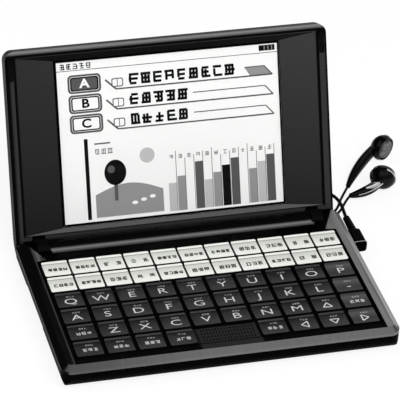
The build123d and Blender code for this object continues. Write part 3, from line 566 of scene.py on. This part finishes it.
# %% Brushed and plain metals
def brushed(name, dark, light, rough, along=(900, 26, 200)):
    finish = keep(Finish(name, Metallic=1.0))
    strokes = finish.noise(1.0, 5.0, along)
    broad = finish.noise(1.0, 2.0, (along[0] * 0.22, along[1] * 0.5, along[2] * 0.2))
    mixed = finish.spread(strokes * 0.55 + broad * 0.45, 0.36, 0.64)
    finish.set("Base Color", finish.mix(mixed, dark, light))
    finish.set("Roughness", finish.spread(strokes, 0.3, 0.7, rough - 0.07, rough + 0.07))
    finish.relief(strokes, 0.000004)


brushed("speaker_metal", (0.3, 0.3, 0.3), (0.45, 0.45, 0.45), 0.35)
brushed("pin_steel", (0.5, 0.5, 0.5), (0.62, 0.62, 0.62), 0.25, (60, 900, 900))
brushed("screw_steel", (0.2, 0.2, 0.2), (0.34, 0.34, 0.34), 0.3, (700, 700, 60))
brushed("socket_metal", (0.5, 0.5, 0.5), (0.66, 0.66, 0.66), 0.28, (400, 60, 400))
brushed("plug_metal", (0.62, 0.6, 0.56), (0.76, 0.74, 0.7), 0.16, (90, 700, 700))
brushed("bud_chrome", (0.6, 0.6, 0.6), (0.8, 0.8, 0.8), 0.18, (300, 300, 300))

# %% [markdown]
# The frame round the keys is one metal pressing. It shows its metal on the right and along the front; at the
# left and at the rear it is painted black, a painted shade, and a mask by place and direction sets where.
# Along the front a painted light makes the metal darker towards the left. The hinge barrel is black, with one
# pale line painted along its front, a painted highlight.

# %% Frame and barrel
frame_metal = keep(Finish("frame_metal", Specular_IOR_Level=0.025))
streaks = frame_metal.noise(1.0, 5.0, (900, 26, 200), (0, 0, 0.44))
# Painted shade: black where this mask is 0, at the left and the rear; bare metal where it is 1.
shine_mask = frame_metal.spread(frame_metal.along(X), -52.5 * mm, -49.5 * mm)
shine_mask = shine_mask * frame_metal.spread(frame_metal.along(Y), 33.5 * mm, 32.5 * mm)
front_edge = frame_metal.facing(FRONT) > 0.25
shine_mask = frame_metal.sum("MAXIMUM", shine_mask, front_edge)
shine_mask = shine_mask * frame_metal.spread(frame_metal.facing(REAR), 0.5, 0.3)
shine_mask = shine_mask * frame_metal.spread(frame_metal.facing(LEFT), 0.5, 0.3)
scratched = frame_metal.mix(frame_metal.spread(streaks, 0.36, 0.64), (0.16, 0.16, 0.158), (0.3, 0.3, 0.296))
# Painted light along the front edge: darker towards the left.
from_left = frame_metal.spread(frame_metal.along(X), -50 * mm, -10 * mm)
front_painted_light = frame_metal.mix(from_left, (0.09, 0.092, 0.09), (0.155, 0.157, 0.155))
metal = frame_metal.mix(front_edge, scratched, front_painted_light)
frame_metal.set("Base Color", frame_metal.mix(shine_mask, (0.0018, 0.0018, 0.002), metal))
frame_metal.set("Metallic", shine_mask)
frame_metal.set("Roughness", frame_metal.spread(streaks, 0.3, 0.7, 0.24, 0.36))
frame_metal.relief(streaks, 0.000003)

barrel = keep(Finish("barrel_plastic", Specular_IOR_Level=0.02))
# Painted highlight: one pale line along the barrel's front.
barrel_highlight = barrel.spread(barrel.along(Y), 29.6 * mm, 29.1 * mm)
barrel_highlight = barrel_highlight * barrel.spread(barrel.facing(UP), -0.2, 0.5)
barrel.set("Base Color", barrel.mix(barrel_highlight, (0.0012, 0.0012, 0.0014), (0.14, 0.14, 0.142)))
barrel.set("Roughness", barrel.spread(barrel.noise(700, 3.0), 0.3, 0.7, 0.26, 0.34))
barrel.relief(barrel.noise(700, 3.0), 0.000003)


def painted(name, color, rough, flake):
    """Dark paint: tiny flakes lift the colour here and there."""
    finish = keep(Finish(name, Specular_IOR_Level=0.025))
    flakes = finish.noise(flake, 2.0)
    slow = finish.noise(24, 2.0)
    lifted = tuple(value * 1.5 for value in color)
    finish.set("Base Color", finish.mix(finish.spread(flakes, 0.45, 0.75), color, lifted))
    finish.set("Roughness", finish.spread(slow, 0.3, 0.7, rough * 0.9, rough * 1.1))
    finish.relief(flakes, 0.000004)


painted("knuckle_metal", (0.0016, 0.0016, 0.0018), 0.34, 3200)
print("metals are ready")

# %% [markdown]
# ### Rubber, glass and what is inside
# Rubber is matt and dusty. The display's window is a clear sheet with a thin reflection, which is a mostly
# transparent surface. The inner boards get their green lacquer with copper under it, in case the part is
# taken apart.

# %% Rubber, window and inner parts
def rubber(name, color, rough=0.6):
    finish = keep(Finish(name, Specular_IOR_Level=0.03))
    grain = finish.noise(3500, 4.0)
    dust = finish.noise(120, 3.0)
    dusty = tuple(value * 1.6 for value in color)
    finish.set("Base Color", finish.mix(finish.spread(dust, 0.45, 0.8), color, dusty))
    finish.set("Roughness", finish.spread(grain, 0.3, 0.7, rough - 0.1, rough + 0.1))
    finish.relief(grain, 0.00002)


rubber("soft_rubber", (0.002, 0.002, 0.002))
rubber("mat_rubber", (0.3, 0.3, 0.3))
rubber("cord_rubber", (0.0018, 0.0018, 0.0018), 0.45)

window = keep(Finish("window_glass", Roughness=0.04, Specular_IOR_Level=0.5))
window.set("Base Color", window.mix(window.noise(40, 2.0), (0.002, 0.002, 0.002), (0.004, 0.004, 0.004)))
window.set("Alpha", window.spread(window.noise(20, 2.0), 0.2, 0.8, 0.03, 0.04))

lcd = keep(Finish("lcd_glass", Specular_IOR_Level=0.1))
cells_across = lcd.grid(0.24 * mm, 0.24 * mm, 0.01 * mm, 1, 1, 0, shift=0.0)
lcd.set("Base Color", lcd.mix(cells_across, (0.78, 0.79, 0.78), (0.84, 0.845, 0.835)))
lcd.set("Roughness", lcd.spread(lcd.noise(60, 2.0), 0.3, 0.7, 0.4, 0.5))

board = keep(Finish("circuit_board", Specular_IOR_Level=0.5))
tracks = board.grid(6 * mm, 2.2 * mm, 0.18 * mm, 0, 0.15, 1, shift=0.5)
board.set("Base Color", board.mix(tracks, (0.01, 0.09, 0.035), (0.09, 0.22, 0.08)))
board.set("Roughness", board.spread(board.noise(200, 3.0), 0.3, 0.7, 0.28, 0.42))
board.relief(tracks, 0.00003)

mesh = keep(Finish("mesh_steel", Metallic=1.0))
holes = mesh.node("ShaderNodeTexVoronoi", {"feature": "F1"}, {"Vector": mesh.place(), "Scale": 1900.0})
punched = mesh.spread(holes, 0.25, 0.4)
mesh.set("Base Color", mesh.mix(punched, (0.01, 0.01, 0.01), (0.16, 0.16, 0.16)))
mesh.set("Roughness", mesh.spread(punched, 0, 1, 0.7, 0.3))
mesh.relief(punched, 0.00008)
print("finishes so far:", len(finishes))

# %% Dress the frame's own nodes
slots = {part["node"]: part["material_slot"] for part in frame["record"]["subparts"]}
for name, piece in nodes.items():
    piece.data.materials.clear()
    piece.data.materials.append(finishes[slots[name]])
for lead in (main_lead, left_lead, right_lead):
    lead.data.materials.append(finishes["cord_rubber"])
print("dressed", len(nodes), "nodes")

# %% [markdown]
# ## Bright trim
# Each earbud has a chrome arc behind its rim, an oval inlay on its stem and a fine line down the stem's back.
# They follow the stem's own axes, so both buds share one function. Where they stand out of the plastic, it
# is by two thirds of a millimetre at most. The plug has a fine bright line round its nose.

# %% Trim of the earbuds and the plug
stem_bow = 1.0 * mm
bow_place = 0.55
stem_in_head = 2.3 * mm
arc_radius = 4.6 * mm
arc_behind_rim = 0.45 * mm
arc_half_angle = 66
bead_radius = 0.3 * mm
line_from = 0.2
line_step = 0.085
line_radius = 0.12 * mm
line_growth = 0.025 * mm
inlay_place = 0.66
inlay_half = Vector((3.6, 1.2, 1.1)) * mm
inlay_sink = 0.88 * mm


def stem_point(end, top, behind, share):
    """Middle of the bowed stem, and about its radius, at a share of its length from the cord's end."""
    bow = stem_bow * share * (1 - share) / (bow_place * (1 - bow_place))
    radius = (0.85 + 3.34 * share - 2.59 * share * share) * mm
    return end.lerp(top, share) + behind * bow, radius


def bud_trim(name, head, face, end, lean):
    """Arc, inlay and stem line of one earbud; lean turns the inlay up from the stem's back."""
    head = Vector(head) * mm
    end = Vector(end) * mm
    face = Vector(face).normalized()
    top = head - face * stem_in_head
    axis = (top - end).normalized()
    behind = (axis * axis.dot(face) - face).normalized()
    outer = (axis - face * axis.dot(face)).normalized()
    across = face.cross(outer)
    arc = []
    for step in range(-6, 7):
        angle = math.radians(arc_half_angle * step / 6)
        spoke = outer * math.cos(angle) + across * math.sin(angle)
        arc.append(head - face * arc_behind_rim + spoke * arc_radius)
    chrome = [round_line(f"{name}_arc", arc, [bead_radius] * len(arc))]
    upright = (Vector((0, 0, 1)) - axis * axis.z).normalized()
    ridge = (upright * lean * 0.3 + behind).normalized()
    line_points = []
    line_radii = []
    for step in range(10):
        middle, radius = stem_point(end, top, behind, line_from + line_step * step)
        line_points.append(middle + ridge * radius)
        line_radii.append(line_radius + line_growth * step)
    chrome.append(round_line(f"{name}_stem_line", line_points, line_radii))
    out = (upright * lean + behind * 0.4).normalized()
    middle, radius = stem_point(end, top, behind, inlay_place)
    oval = bmesh.new()
    bmesh.ops.create_uvsphere(oval, u_segments=24, v_segments=12, radius=1.0)
    turn = Matrix((axis, out.cross(axis), out)).transposed().to_4x4()
    size = Matrix.Diagonal((*inlay_half, 1))
    oval.transform(Matrix.Translation(middle + out * (radius - inlay_sink)) @ turn @ size)
    data = bpy.data.meshes.new(f"{name}_inlay")
    oval.to_mesh(data)
    oval.free()
    inlay = bpy.data.objects.new(f"{name}_inlay", data)
    bpy.context.scene.collection.objects.link(inlay)
    for polygon in data.polygons:
        polygon.use_smooth = True
    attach(inlay, "earphones")
    return chrome + [inlay]


right_trim = bud_trim("right_bud", (80.0, 54.95, 4.9), (0.45, 0.86, 0.22), (66.8, 50.6, 1.3), 1.5)
left_trim = bud_trim("left_bud", (85.8, 72.6, 4.8), (0.56, -0.83, 0.0), (67.9, 56.4, 1.3), -0.2)

nose_middle = Vector((59.6, 17.9, 3.8)) * mm
nose_half_width = 2.4 * mm
nose_half_height = 2.0 * mm
squareness = 0.35
nose_steps = 24
nose = []
for step in range(nose_steps + 1):
    angle = 2 * math.pi * step / nose_steps
    side = abs(math.cos(angle)) ** squareness * math.copysign(nose_half_width, math.cos(angle))
    rise = abs(math.sin(angle)) ** squareness * math.copysign(nose_half_height, math.sin(angle))
    nose.append(nose_middle + Vector((side, 0, rise)))
plug_trim = [round_line("plug_nose_line", nose, [0.14 * mm] * len(nose))]
for piece in right_trim + left_trim + plug_trim:
    piece.data.materials.append(finishes["bud_chrome"])
print("trim pieces:", len(right_trim + left_trim + plug_trim))

# %% [markdown]
# ## Printed marks
# Legends and the display's picture are printed, so each mark is a very thin solid that lies on its surface.
# A mark is an outline in two dimensions, and a matrix carries it to where it lies. Many marks of one ink are
# collected in one mesh, which is lighter than an object for each.

# %% Ink
print_depth = 0.03 * mm


class Ink:
    """Collects thin marks of one colour in a mesh."""

    def __init__(self):
        self.bm = bmesh.new()

    def outline(self, place, corners, depth=print_depth):
        """A flat mark from its corners, anticlockwise."""
        low = [self.bm.verts.new(place @ Vector((x, y, 0))) for x, y in corners]
        high = [self.bm.verts.new(place @ Vector((x, y, depth))) for x, y in corners]
        self.bm.faces.new(list(reversed(low)))
        self.bm.faces.new(high)
        count = len(corners)
        for i in range(count):
            j = (i + 1) % count
            self.bm.faces.new((low[i], low[j], high[j], high[i]))

    def box(self, place, x, y, width, height, depth=print_depth):
        half_w, half_h = width / 2, height / 2
        left, right_end = x - half_w, x + half_w
        low, high = y - half_h, y + half_h
        self.outline(place, [(left, low), (right_end, low), (right_end, high), (left, high)], depth)

    def letters(self, place, text, size, wide=1.0, weight=0.02, depth=print_depth):
        """Text with its middle at the place."""
        curve = bpy.data.curves.new("letters", "FONT")
        curve.body = text
        curve.size = size
        curve.align_x = "CENTER"
        curve.align_y = "CENTER"
        curve.extrude = depth / 2
        curve.offset = size * weight
        curve.resolution_u = 3
        holder = bpy.data.objects.new("letters", curve)
        bpy.context.scene.collection.objects.link(holder)
        bpy.context.view_layer.update()
        made = bpy.data.meshes.new_from_object(holder)
        made.transform(place @ Matrix.Diagonal((wide, 1, 1, 1)))
        self.bm.from_mesh(made)
        bpy.data.objects.remove(holder)
        bpy.data.curves.remove(curve)
        bpy.data.meshes.remove(made)

    def finish(self, name, body, finish, slot):
        data = bpy.data.meshes.new(name)
        self.bm.normal_update()
        self.bm.to_mesh(data)
        self.bm.free()
        piece = bpy.data.objects.new(name, data)
        bpy.context.scene.collection.objects.link(piece)
        data.materials.append(finish)
        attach(piece, body)


inks = {"white_ink": 0.5, "pale_ink": 0.46, "grey_ink": 0.26, "slate_ink": 0.085, "dark_ink": 0.003}
for name, tone in inks.items():
    plastic(name, (tone, tone, tone), 0.5, 3000, 0.000003, drift=0.05, specular=0.06)

# %% [markdown]
# ## Key legends
# The dark keys carry the alphabet in a keyboard's usual order, arrows, a dash and little strokes, with a
# small second mark above. The silver keys carry rows of little strokes, which look like small print and say
# nothing. Each legend rides on its own key or row of keys, so it travels with it.

# %% Where the keys are
columns = 10
silver_rows = 2
silver_columns = 11
field_half = 51.1 * mm
frame_top = 9.1 * mm
silver_depth = 7.8 * mm
dark_depth = 7.75 * mm
ledge = 1.15 * mm
dish = 0.25 * mm
silver_rise = 0.3 * mm
dark_rise = 0.2 * mm
face_middle = -0.55 * mm
face_slope = 0.0252
sunk_share = 0.4


def row_columns(row):
    return silver_columns if row < silver_rows else columns


def key_face(column, row):
    """Matrix of a key's dished face: x across, y towards the back, z out of the face."""
    silver = row < silver_rows
    depth = silver_depth if silver else dark_depth
    top = frame_top + (silver_rise if silver else dark_rise)
    x = 2 * field_half * (column + 0.5) / row_columns(row) - field_half
    y = field_back - row * row_pitch - depth / 2
    back_of_dish = depth / 2 - ledge - dish
    z = top - dish + (back_of_dish - face_middle) * face_slope
    place = Vector((x, y + face_middle, z - print_depth * sunk_share))
    return Matrix.Translation(place) @ Matrix.Rotation(-math.atan(face_slope), 4, "X")


draw = random.Random(7)


def small_print(ink, place, middle_x, middle_y, count, size, stroke, spacing=1.18):
    """A row of square clusters of strokes, like small print seen from far."""
    for number in range(count):
        x = middle_x + (number - (count - 1) / 2) * size * spacing
        for level in (-0.4, 0.0, 0.4):
            if draw.random() < 0.85:
                wide = size * draw.uniform(0.6, 0.95)
                ink.box(place, x + draw.uniform(-0.06, 0.06) * size, middle_y + level * size, wide, stroke)
        for level in (-0.3, 0.0, 0.3):
            if draw.random() < 0.7:
                tall = size * draw.uniform(0.55, 0.95)
                ink.box(place, x + level * size, middle_y + draw.uniform(-0.06, 0.06) * size, stroke, tall)


# %% Silver rows
for row in range(silver_rows):
    ink = Ink()
    for column in range(silver_columns):
        place = key_face(column, row)
        count = draw.choice((2, 3, 4, 4))
        size = {2: 1.9, 3: 1.9, 4: 1.55}[count] * mm
        spacing = 2.2 if count == 2 else 1.08
        small_print(ink, place, 0.4 * mm, 0.0, count, size, 0.36 * mm, spacing)
    ink.finish(f"legend_row_{row + 1}", f"key_row_{row + 1}", finishes["dark_ink"], "silver_key")
print(silver_rows * silver_columns, "silver keys lettered")

# %% Dark rows
arrow = [(-0.9, -0.62), (0.9, -0.62), (0.0, 0.75)]
arrow_size = 1.7 * mm
front_arrows = {7: 90, 8: 180, 9: -90}
legend_shift = Matrix.Translation((0.2 * mm, -0.4 * mm, 0))
letter_size = 4.1 * mm
letter_wide = 1.38
letter_weight = -0.004
second_x = 0.5 * mm
second_y = 2.3 * mm


def arrow_mark(ink, place, turn):
    """Open triangle that points where turn says: 0 is up, 90 is left."""
    turned = place @ Matrix.Rotation(math.radians(turn), 4, "Z")
    for number in range(3):
        start = Vector(arrow[number]) * arrow_size
        end = Vector(arrow[(number + 1) % 3]) * arrow_size
        side = end - start
        middle = (start + end) / 2
        slant = Matrix.Rotation(math.atan2(side.y, side.x), 4, "Z")
        ink.box(turned @ Matrix.Translation((middle.x, middle.y, 0)) @ slant, 0, 0, side.length, 0.4 * mm)


letter_rows = {2: "QWERTYUIOP", 3: "ASDFGHJKL-", 4: " ZXCVBNM^ "}
for row in (2, 3):
    ink = Ink()
    faint = Ink()
    for column, letter in enumerate(letter_rows[row]):
        place = key_face(column, row)
        ink.letters(place @ legend_shift, letter, letter_size, letter_wide, letter_weight)
        small_print(faint, place, second_x, second_y, 3, 0.75 * mm, 0.1 * mm)
    ink.finish(f"legend_row_{row + 1}", f"key_row_{row + 1}", finishes["white_ink"], "dark_key")
    faint.finish(f"second_legend_row_{row + 1}", f"key_row_{row + 1}", finishes["grey_ink"], "dark_key")

for row in (4, 5):
    for column in range(columns):
        body = f"key_{row + 1}_{column + 1:02d}"
        if body not in frame["bodies"]:
            continue
        place = key_face(column, row)
        low = place @ legend_shift
        ink = Ink()
        letter = letter_rows[4][column] if row == 4 else " "
        if letter == "^":
            arrow_mark(ink, low, 0)
        elif letter != " ":
            ink.letters(low, letter, letter_size, letter_wide, letter_weight)
        elif row == 5 and column in front_arrows:
            arrow_mark(ink, low, front_arrows[column])
        else:
            small_print(ink, low, 0.2 * mm, 0.2 * mm, 3, 1.5 * mm, 0.24 * mm)
        small_print(ink, place, second_x, second_y, 3, 0.75 * mm, 0.05 * mm)
        ink.finish(f"legend_{body}", body, finishes["white_ink"], "dark_key")
print("legends are on the keys")

# %% [markdown]
# ## The display
# The display is a pale reflective panel with a printed look: a title bar, three list rows with lettered
# tabs, and a grey picture below. All of it is drawn on the lid's own plane, which is turned about the hinge.
# A black mask hides the panel's edge under the window.

# %% The lid's plane
lid_axes = Matrix((Vector((1, 0, 0)), along_v, along_n)).transposed().to_4x4()


def on_lid(x, v, n):
    """Matrix of a place on the lid, with x across, y away from the hinge and z out of the display."""
    return Matrix.Translation(hinge + Vector((x, 0, 0)) + along_v * v + along_n * n) @ lid_axes


panel_face = -5.6 * mm
view_left = -38.05 * mm
view_right = 38.6 * mm
view_low = 6.65 * mm
view_high = 61.65 * mm
mask_out = 39.15 * mm
mask_low = 5.85 * mm
mask_high = 62.55 * mm
sheet = on_lid(0, 0, panel_face)

# %% Mask
def mask_strip(left, low, right_end, high):
    mask.box(sheet, (left + right_end) / 2, (low + high) / 2, right_end - left, high - low, 0.1 * mm)


mask = Ink()
mask_strip(-mask_out, mask_low, view_left, mask_high)
mask_strip(view_right, mask_low, mask_out, mask_high)
mask_strip(view_left, mask_low, view_right, view_low)
mask_strip(view_left, view_high, view_right, mask_high)
mask.finish("display_mask", "lid", finishes["case_plastic"], "lcd_glass")

# %% [markdown]
# The picture is set out in millimetres from the display's lower left corner. The list of three entries is
# a loop: each has a framed letter, a little book, a run of heavy print and a long tab that ends in a slope.
# The lower half holds a plain grey design: a hill with a tree, and a row of blocks like books on a shelf.

# %% Marks of the list
black = Ink()
slate = Ink()
grey = Ink()
pale = Ink()
white = Ink()


def screen(x, y, lift=0.0):
    """Matrix of a place on the display, in millimetres from its lower left corner."""
    return sheet @ Matrix.Translation((view_left + x * mm, view_low + y * mm, lift * mm))


def bar(ink, x_from, y_from, x_to, y_to, lift=0.0):
    """Upright block of the picture between two corners."""
    middle = screen((x_from + x_to) / 2, (y_from + y_to) / 2, lift)
    ink.box(middle, 0, 0, (x_to - x_from) * mm, (y_to - y_from) * mm)


def line(ink, start, end, width, lift=0.0):
    """Straight stroke between two places of the picture."""
    run = Vector((end[0] - start[0], end[1] - start[1]))
    turn = Matrix.Rotation(math.atan2(run.y, run.x), 4, "Z")
    middle = screen((start[0] + end[0]) / 2, (start[1] + end[1]) / 2, lift)
    ink.box(middle @ turn, 0, 0, run.length * mm, width * mm)


def rounded(ink, place, width, height, corner, steps=6):
    """Rectangle with round corners about a place."""
    points = []
    for index, (side, level) in enumerate(((1, 1), (-1, 1), (-1, -1), (1, -1))):
        for step in range(steps + 1):
            angle = math.pi / 2 * (index + step / steps)
            x = side * (width / 2 - corner) + math.cos(angle) * corner
            y = level * (height / 2 - corner) + math.sin(angle) * corner
            points.append((x * mm, y * mm))
    ink.outline(place, points)


def disc(ink, x, y, across, lift=0.0, tall=1.0):
    """Round or oval spot."""
    rim = [(math.cos(a) * across / 2 * mm, math.sin(a) * across * tall / 2 * mm) for a in circle]
    ink.outline(screen(x, y, lift), rim)


circle = [2 * math.pi * step / 28 for step in range(28)]
picture_width = 76.65
title_line = 52.0
line(slate, (0, title_line), (picture_width, title_line), 0.22)
small_print(black, screen(6.5, 53.4), 0, 0, 5, 1.9 * mm, 0.32 * mm)
bar(black, 70.2, 52.7, 75.8, 54.6)
for step in range(3):
    bar(grey, 72.0 + step * 1.3, 53.0, 72.3 + step * 1.3, 54.3, 0.04)

first_entry = 47.3
entry_pitch = 6.8
button_x = 9.3
book_x = 20.6
tab_start = 20.1
tab_end = 74.6
tab_slope_top = 71.8
tab_tall = 3.1
patch_start = 64.9
open_tab_start = 46.5
print_start = 24.0
print_run = (9, 5, 5)
for number, letter in enumerate("ABC"):
    y = first_entry - number * entry_pitch
    chosen = number == 0
    rounded(slate, screen(button_x, y), 11.4, 6.3, 1.4)
    rounded(white, screen(button_x, y, 0.03), 10.0, 5.0, 0.9)
    rounded(black, screen(button_x, y, 0.05), 9.7, 4.7, 0.8)
    rounded(slate if chosen else white, screen(button_x, y, 0.07), 8.7, 3.8, 0.5)
    (white if chosen else black).letters(screen(button_x, y, 0.1), letter, 4.2 * mm, 1.15, 0.03)
    base = y - 2.8
    top = base + tab_tall
    line(slate, (16.5, base + 3.4), (tab_start, base), 0.6)
    line(slate, (tab_start, base), (tab_end, base), 0.5)
    line(slate, (tab_end, base), (tab_slope_top, top), 0.42)
    if chosen:
        corners = ((66.8, base + 0.1), (74.2, base + 0.1), (71.7, base + 3.0), (patch_start, base + 3.0))
        grey.outline(screen(0, 0), [(x * mm, h * mm) for x, h in corners])
    line(slate, (tab_slope_top, top), (patch_start if chosen else open_tab_start, top), 0.34)
    rounded(slate, screen(book_x, base + 2.2), 4.0, 3.0, 0.7)
    rounded(white, screen(book_x, base + 2.2, 0.03), 3.3, 2.3, 0.5)
    line(slate, (book_x, base + 0.9), (book_x, base + 3.4), 0.25, 0.05)
    count = print_run[number]
    middle = screen(print_start + count * 2.1, base + 2.9)
    small_print(black, middle, 0, 0, count, 3.7 * mm, 0.85 * mm, 1.13)
print("list of three entries")

# %% Lower picture
hill_right = 34.5
hill_wide = 23.5
hill_foot = 1.2
hill_side = 9.0
hill_crown = 3.2
ground = [(hill_right - hill_wide, hill_foot), (hill_right, hill_foot), (hill_right, hill_side)]
for step in range(1, 11):
    x = hill_right - hill_wide * step / 10
    ground.append((x, hill_side + hill_crown * math.sin(math.pi * step / 10)))
grey.outline(screen(0, 0), [(x * mm, y * mm) for x, y in ground])
disc(pale, 29.5, 21.0, 5.2)
bar(slate, 17.6, 6.5, 18.8, 13.0, 0.04)
disc(black, 18.2, 16.2, 7.6, 0.05, 1.15)
disc(slate, 16.8, 17.4, 2.6, 0.09)
for step in range(3):
    disc(white, 24.5 + step * 3.1, 5.2 + step * 0.8, 2.0, 0.04, 0.6)
bar(black, 8.0, 0.8, 9.3, 28.5)
line(slate, (11.5, 26.5), (17.0, 26.5), 0.5)
small_print(slate, screen(14.6, 23.8), 0, 0, 3, 1.9 * mm, 0.24 * mm)
tones = [pale, grey, white, slate, pale, grey, black, slate, white, grey, pale, slate]
block_start = 36.5
block_pitch = 3.15
block_wide = 2.75
block_foot = 0.8
for number, ink in enumerate(tones):
    x = block_start + number * block_pitch
    top = 10.5 + 2.2 * ((number * 5) % 4)
    bar(ink, x, block_foot, x + block_wide, top)
    bar(slate, x + block_wide, block_foot, x + 2.95, 21.5 - 0.9 * ((number * 3) % 4))
    small_print(slate, screen(x + 1.3, 19.5), 0, 0, 1, 1.5 * mm, 0.2 * mm)

for name, ink, paint in (
    ("black", black, "dark_ink"),
    ("slate", slate, "slate_ink"),
    ("grey", grey, "grey_ink"),
    ("pale", pale, "pale_ink"),
    ("white", white, "lcd_glass"),
):
    ink.finish(f"display_{name}", "lid", finishes[paint], "lcd_glass")
print("display is drawn")

# %% [markdown]
# ## The studio
# The object stands on a white floor that fills the view. For the camera most of the floor's white is a glow,
# so that it stays white, and the rest takes a soft shadow. Other rays see it as plain white paper.

# %% Floor
floor_data = bpy.data.meshes.new("floor")
reach = 4.0
floor_data.from_pydata(
    [(-reach, -reach, 0), (reach, -reach, 0), (reach, reach, 0), (-reach, reach, 0)], [], [(0, 1, 2, 3)]
)
floor = bpy.data.objects.new("floor", floor_data)
bpy.context.scene.collection.objects.link(floor)
paper = Finish("floor_white", Base_Color=(0.86, 0.86, 0.86), Roughness=0.8, Specular_IOR_Level=0.1)
floor_glow = 0.86
ray = paper.node("ShaderNodeLightPath", out=0)
glow = paper.node("ShaderNodeEmission", sockets={"Color": (1, 1, 1, 1), "Strength": 1.0})
lit_paper = Wire(paper, paper.shader.outputs[0])
blend = paper.node("ShaderNodeMixShader", sockets={0: ray * floor_glow, 1: lit_paper, 2: glow})
paper.tree.links.new(blend.socket, paper.tree.nodes["Material Output"].inputs[0])
floor_data.materials.append(paper.material)

# %% [markdown]
# ### What the gloss sees
# Black gloss and metal look like what they reflect, so the room is drawn for the reflected rays alone: dark
# at the rear left and straight above, a broad soft light over the front with a dimmer one below it, and a
# grey wall behind on the right, which stops at an edge. Camera rays see plain white, and the rays that light
# matt surfaces see an even grey. Two soft lamps add the shading, and leave no mirror image of themselves.

# %% Room
world = bpy.data.worlds.new("room")
bpy.context.scene.world = world
world.use_nodes = True


class Room(Finish):
    """The world's own node tree, with the same methods as a finish."""

    def __init__(self, tree):
        self.tree = tree


room = Room(world.node_tree)
sky = world.node_tree.nodes["Background"]
look = room.node("ShaderNodeTexCoord", out=0)
look_x = room.node("ShaderNodeSeparateXYZ", sockets={0: look}, out=X)
look_y = room.node("ShaderNodeSeparateXYZ", sockets={0: look}, out=Y)
look_z = room.node("ShaderNodeSeparateXYZ", sockets={0: look}, out=Z)
bearing = room.sum("ARCTAN2", look_x, look_y)
rise = room.sum("ARCSINE", look_z, 0.0)
degree = math.pi / 180
wall_grey = 0.72
low_grey = 0.3
in_front = room.spread(look_y, 0.05, -0.1)
wall = room.spread(bearing, 6 * degree, 14 * degree) * room.spread(bearing, 80 * degree, 70 * degree)
wall = wall * room.spread(rise, 62 * degree, 55 * degree)
soft_light = in_front * room.spread(rise, 24 * degree, 40 * degree)
soft_light = soft_light * room.spread(rise, 84 * degree, 70 * degree)
low_light = in_front * room.spread(rise, 36 * degree, 20 * degree)
dark_room = 0.03
even_grey = 0.45
seen = dark_room + wall * wall_grey + soft_light + low_light * low_grey
camera_ray = room.node("ShaderNodeLightPath", out=0)
glossy_ray = room.node("ShaderNodeLightPath", out=3)
strength = camera_ray + (1 - camera_ray) * (glossy_ray * seen + (1 - glossy_ray) * even_grey)
room.plug(sky.inputs["Color"], (1, 1, 1, 1))
room.plug(sky.inputs["Strength"], strength)


# %% Lamps
def softbox(name, toward, far, width, height, power):
    """Rectangular lamp that looks at the object from a direction, and leaves no image in the gloss."""
    data = bpy.data.lights.new(name, "AREA")
    data.shape = "RECTANGLE"
    data.size = width
    data.size_y = height
    data.energy = power
    lamp = bpy.data.objects.new(name, data)
    bpy.context.scene.collection.objects.link(lamp)
    direction = Vector(toward).normalized()
    lamp.location = Vector((0, 0, 0.02)) + direction * far
    lamp.rotation_euler = direction.to_track_quat("Z", "Y").to_euler()
    lamp.visible_glossy = False


softbox("front_softbox", (0.15, -0.62, 0.77), 1.1, 0.9, 0.6, 11.5)
softbox("left_softbox", (-0.7, 0.1, 0.7), 1.2, 0.6, 0.6, 5)
bpy.context.scene.view_settings.view_transform = "Standard"
print("studio is lit")
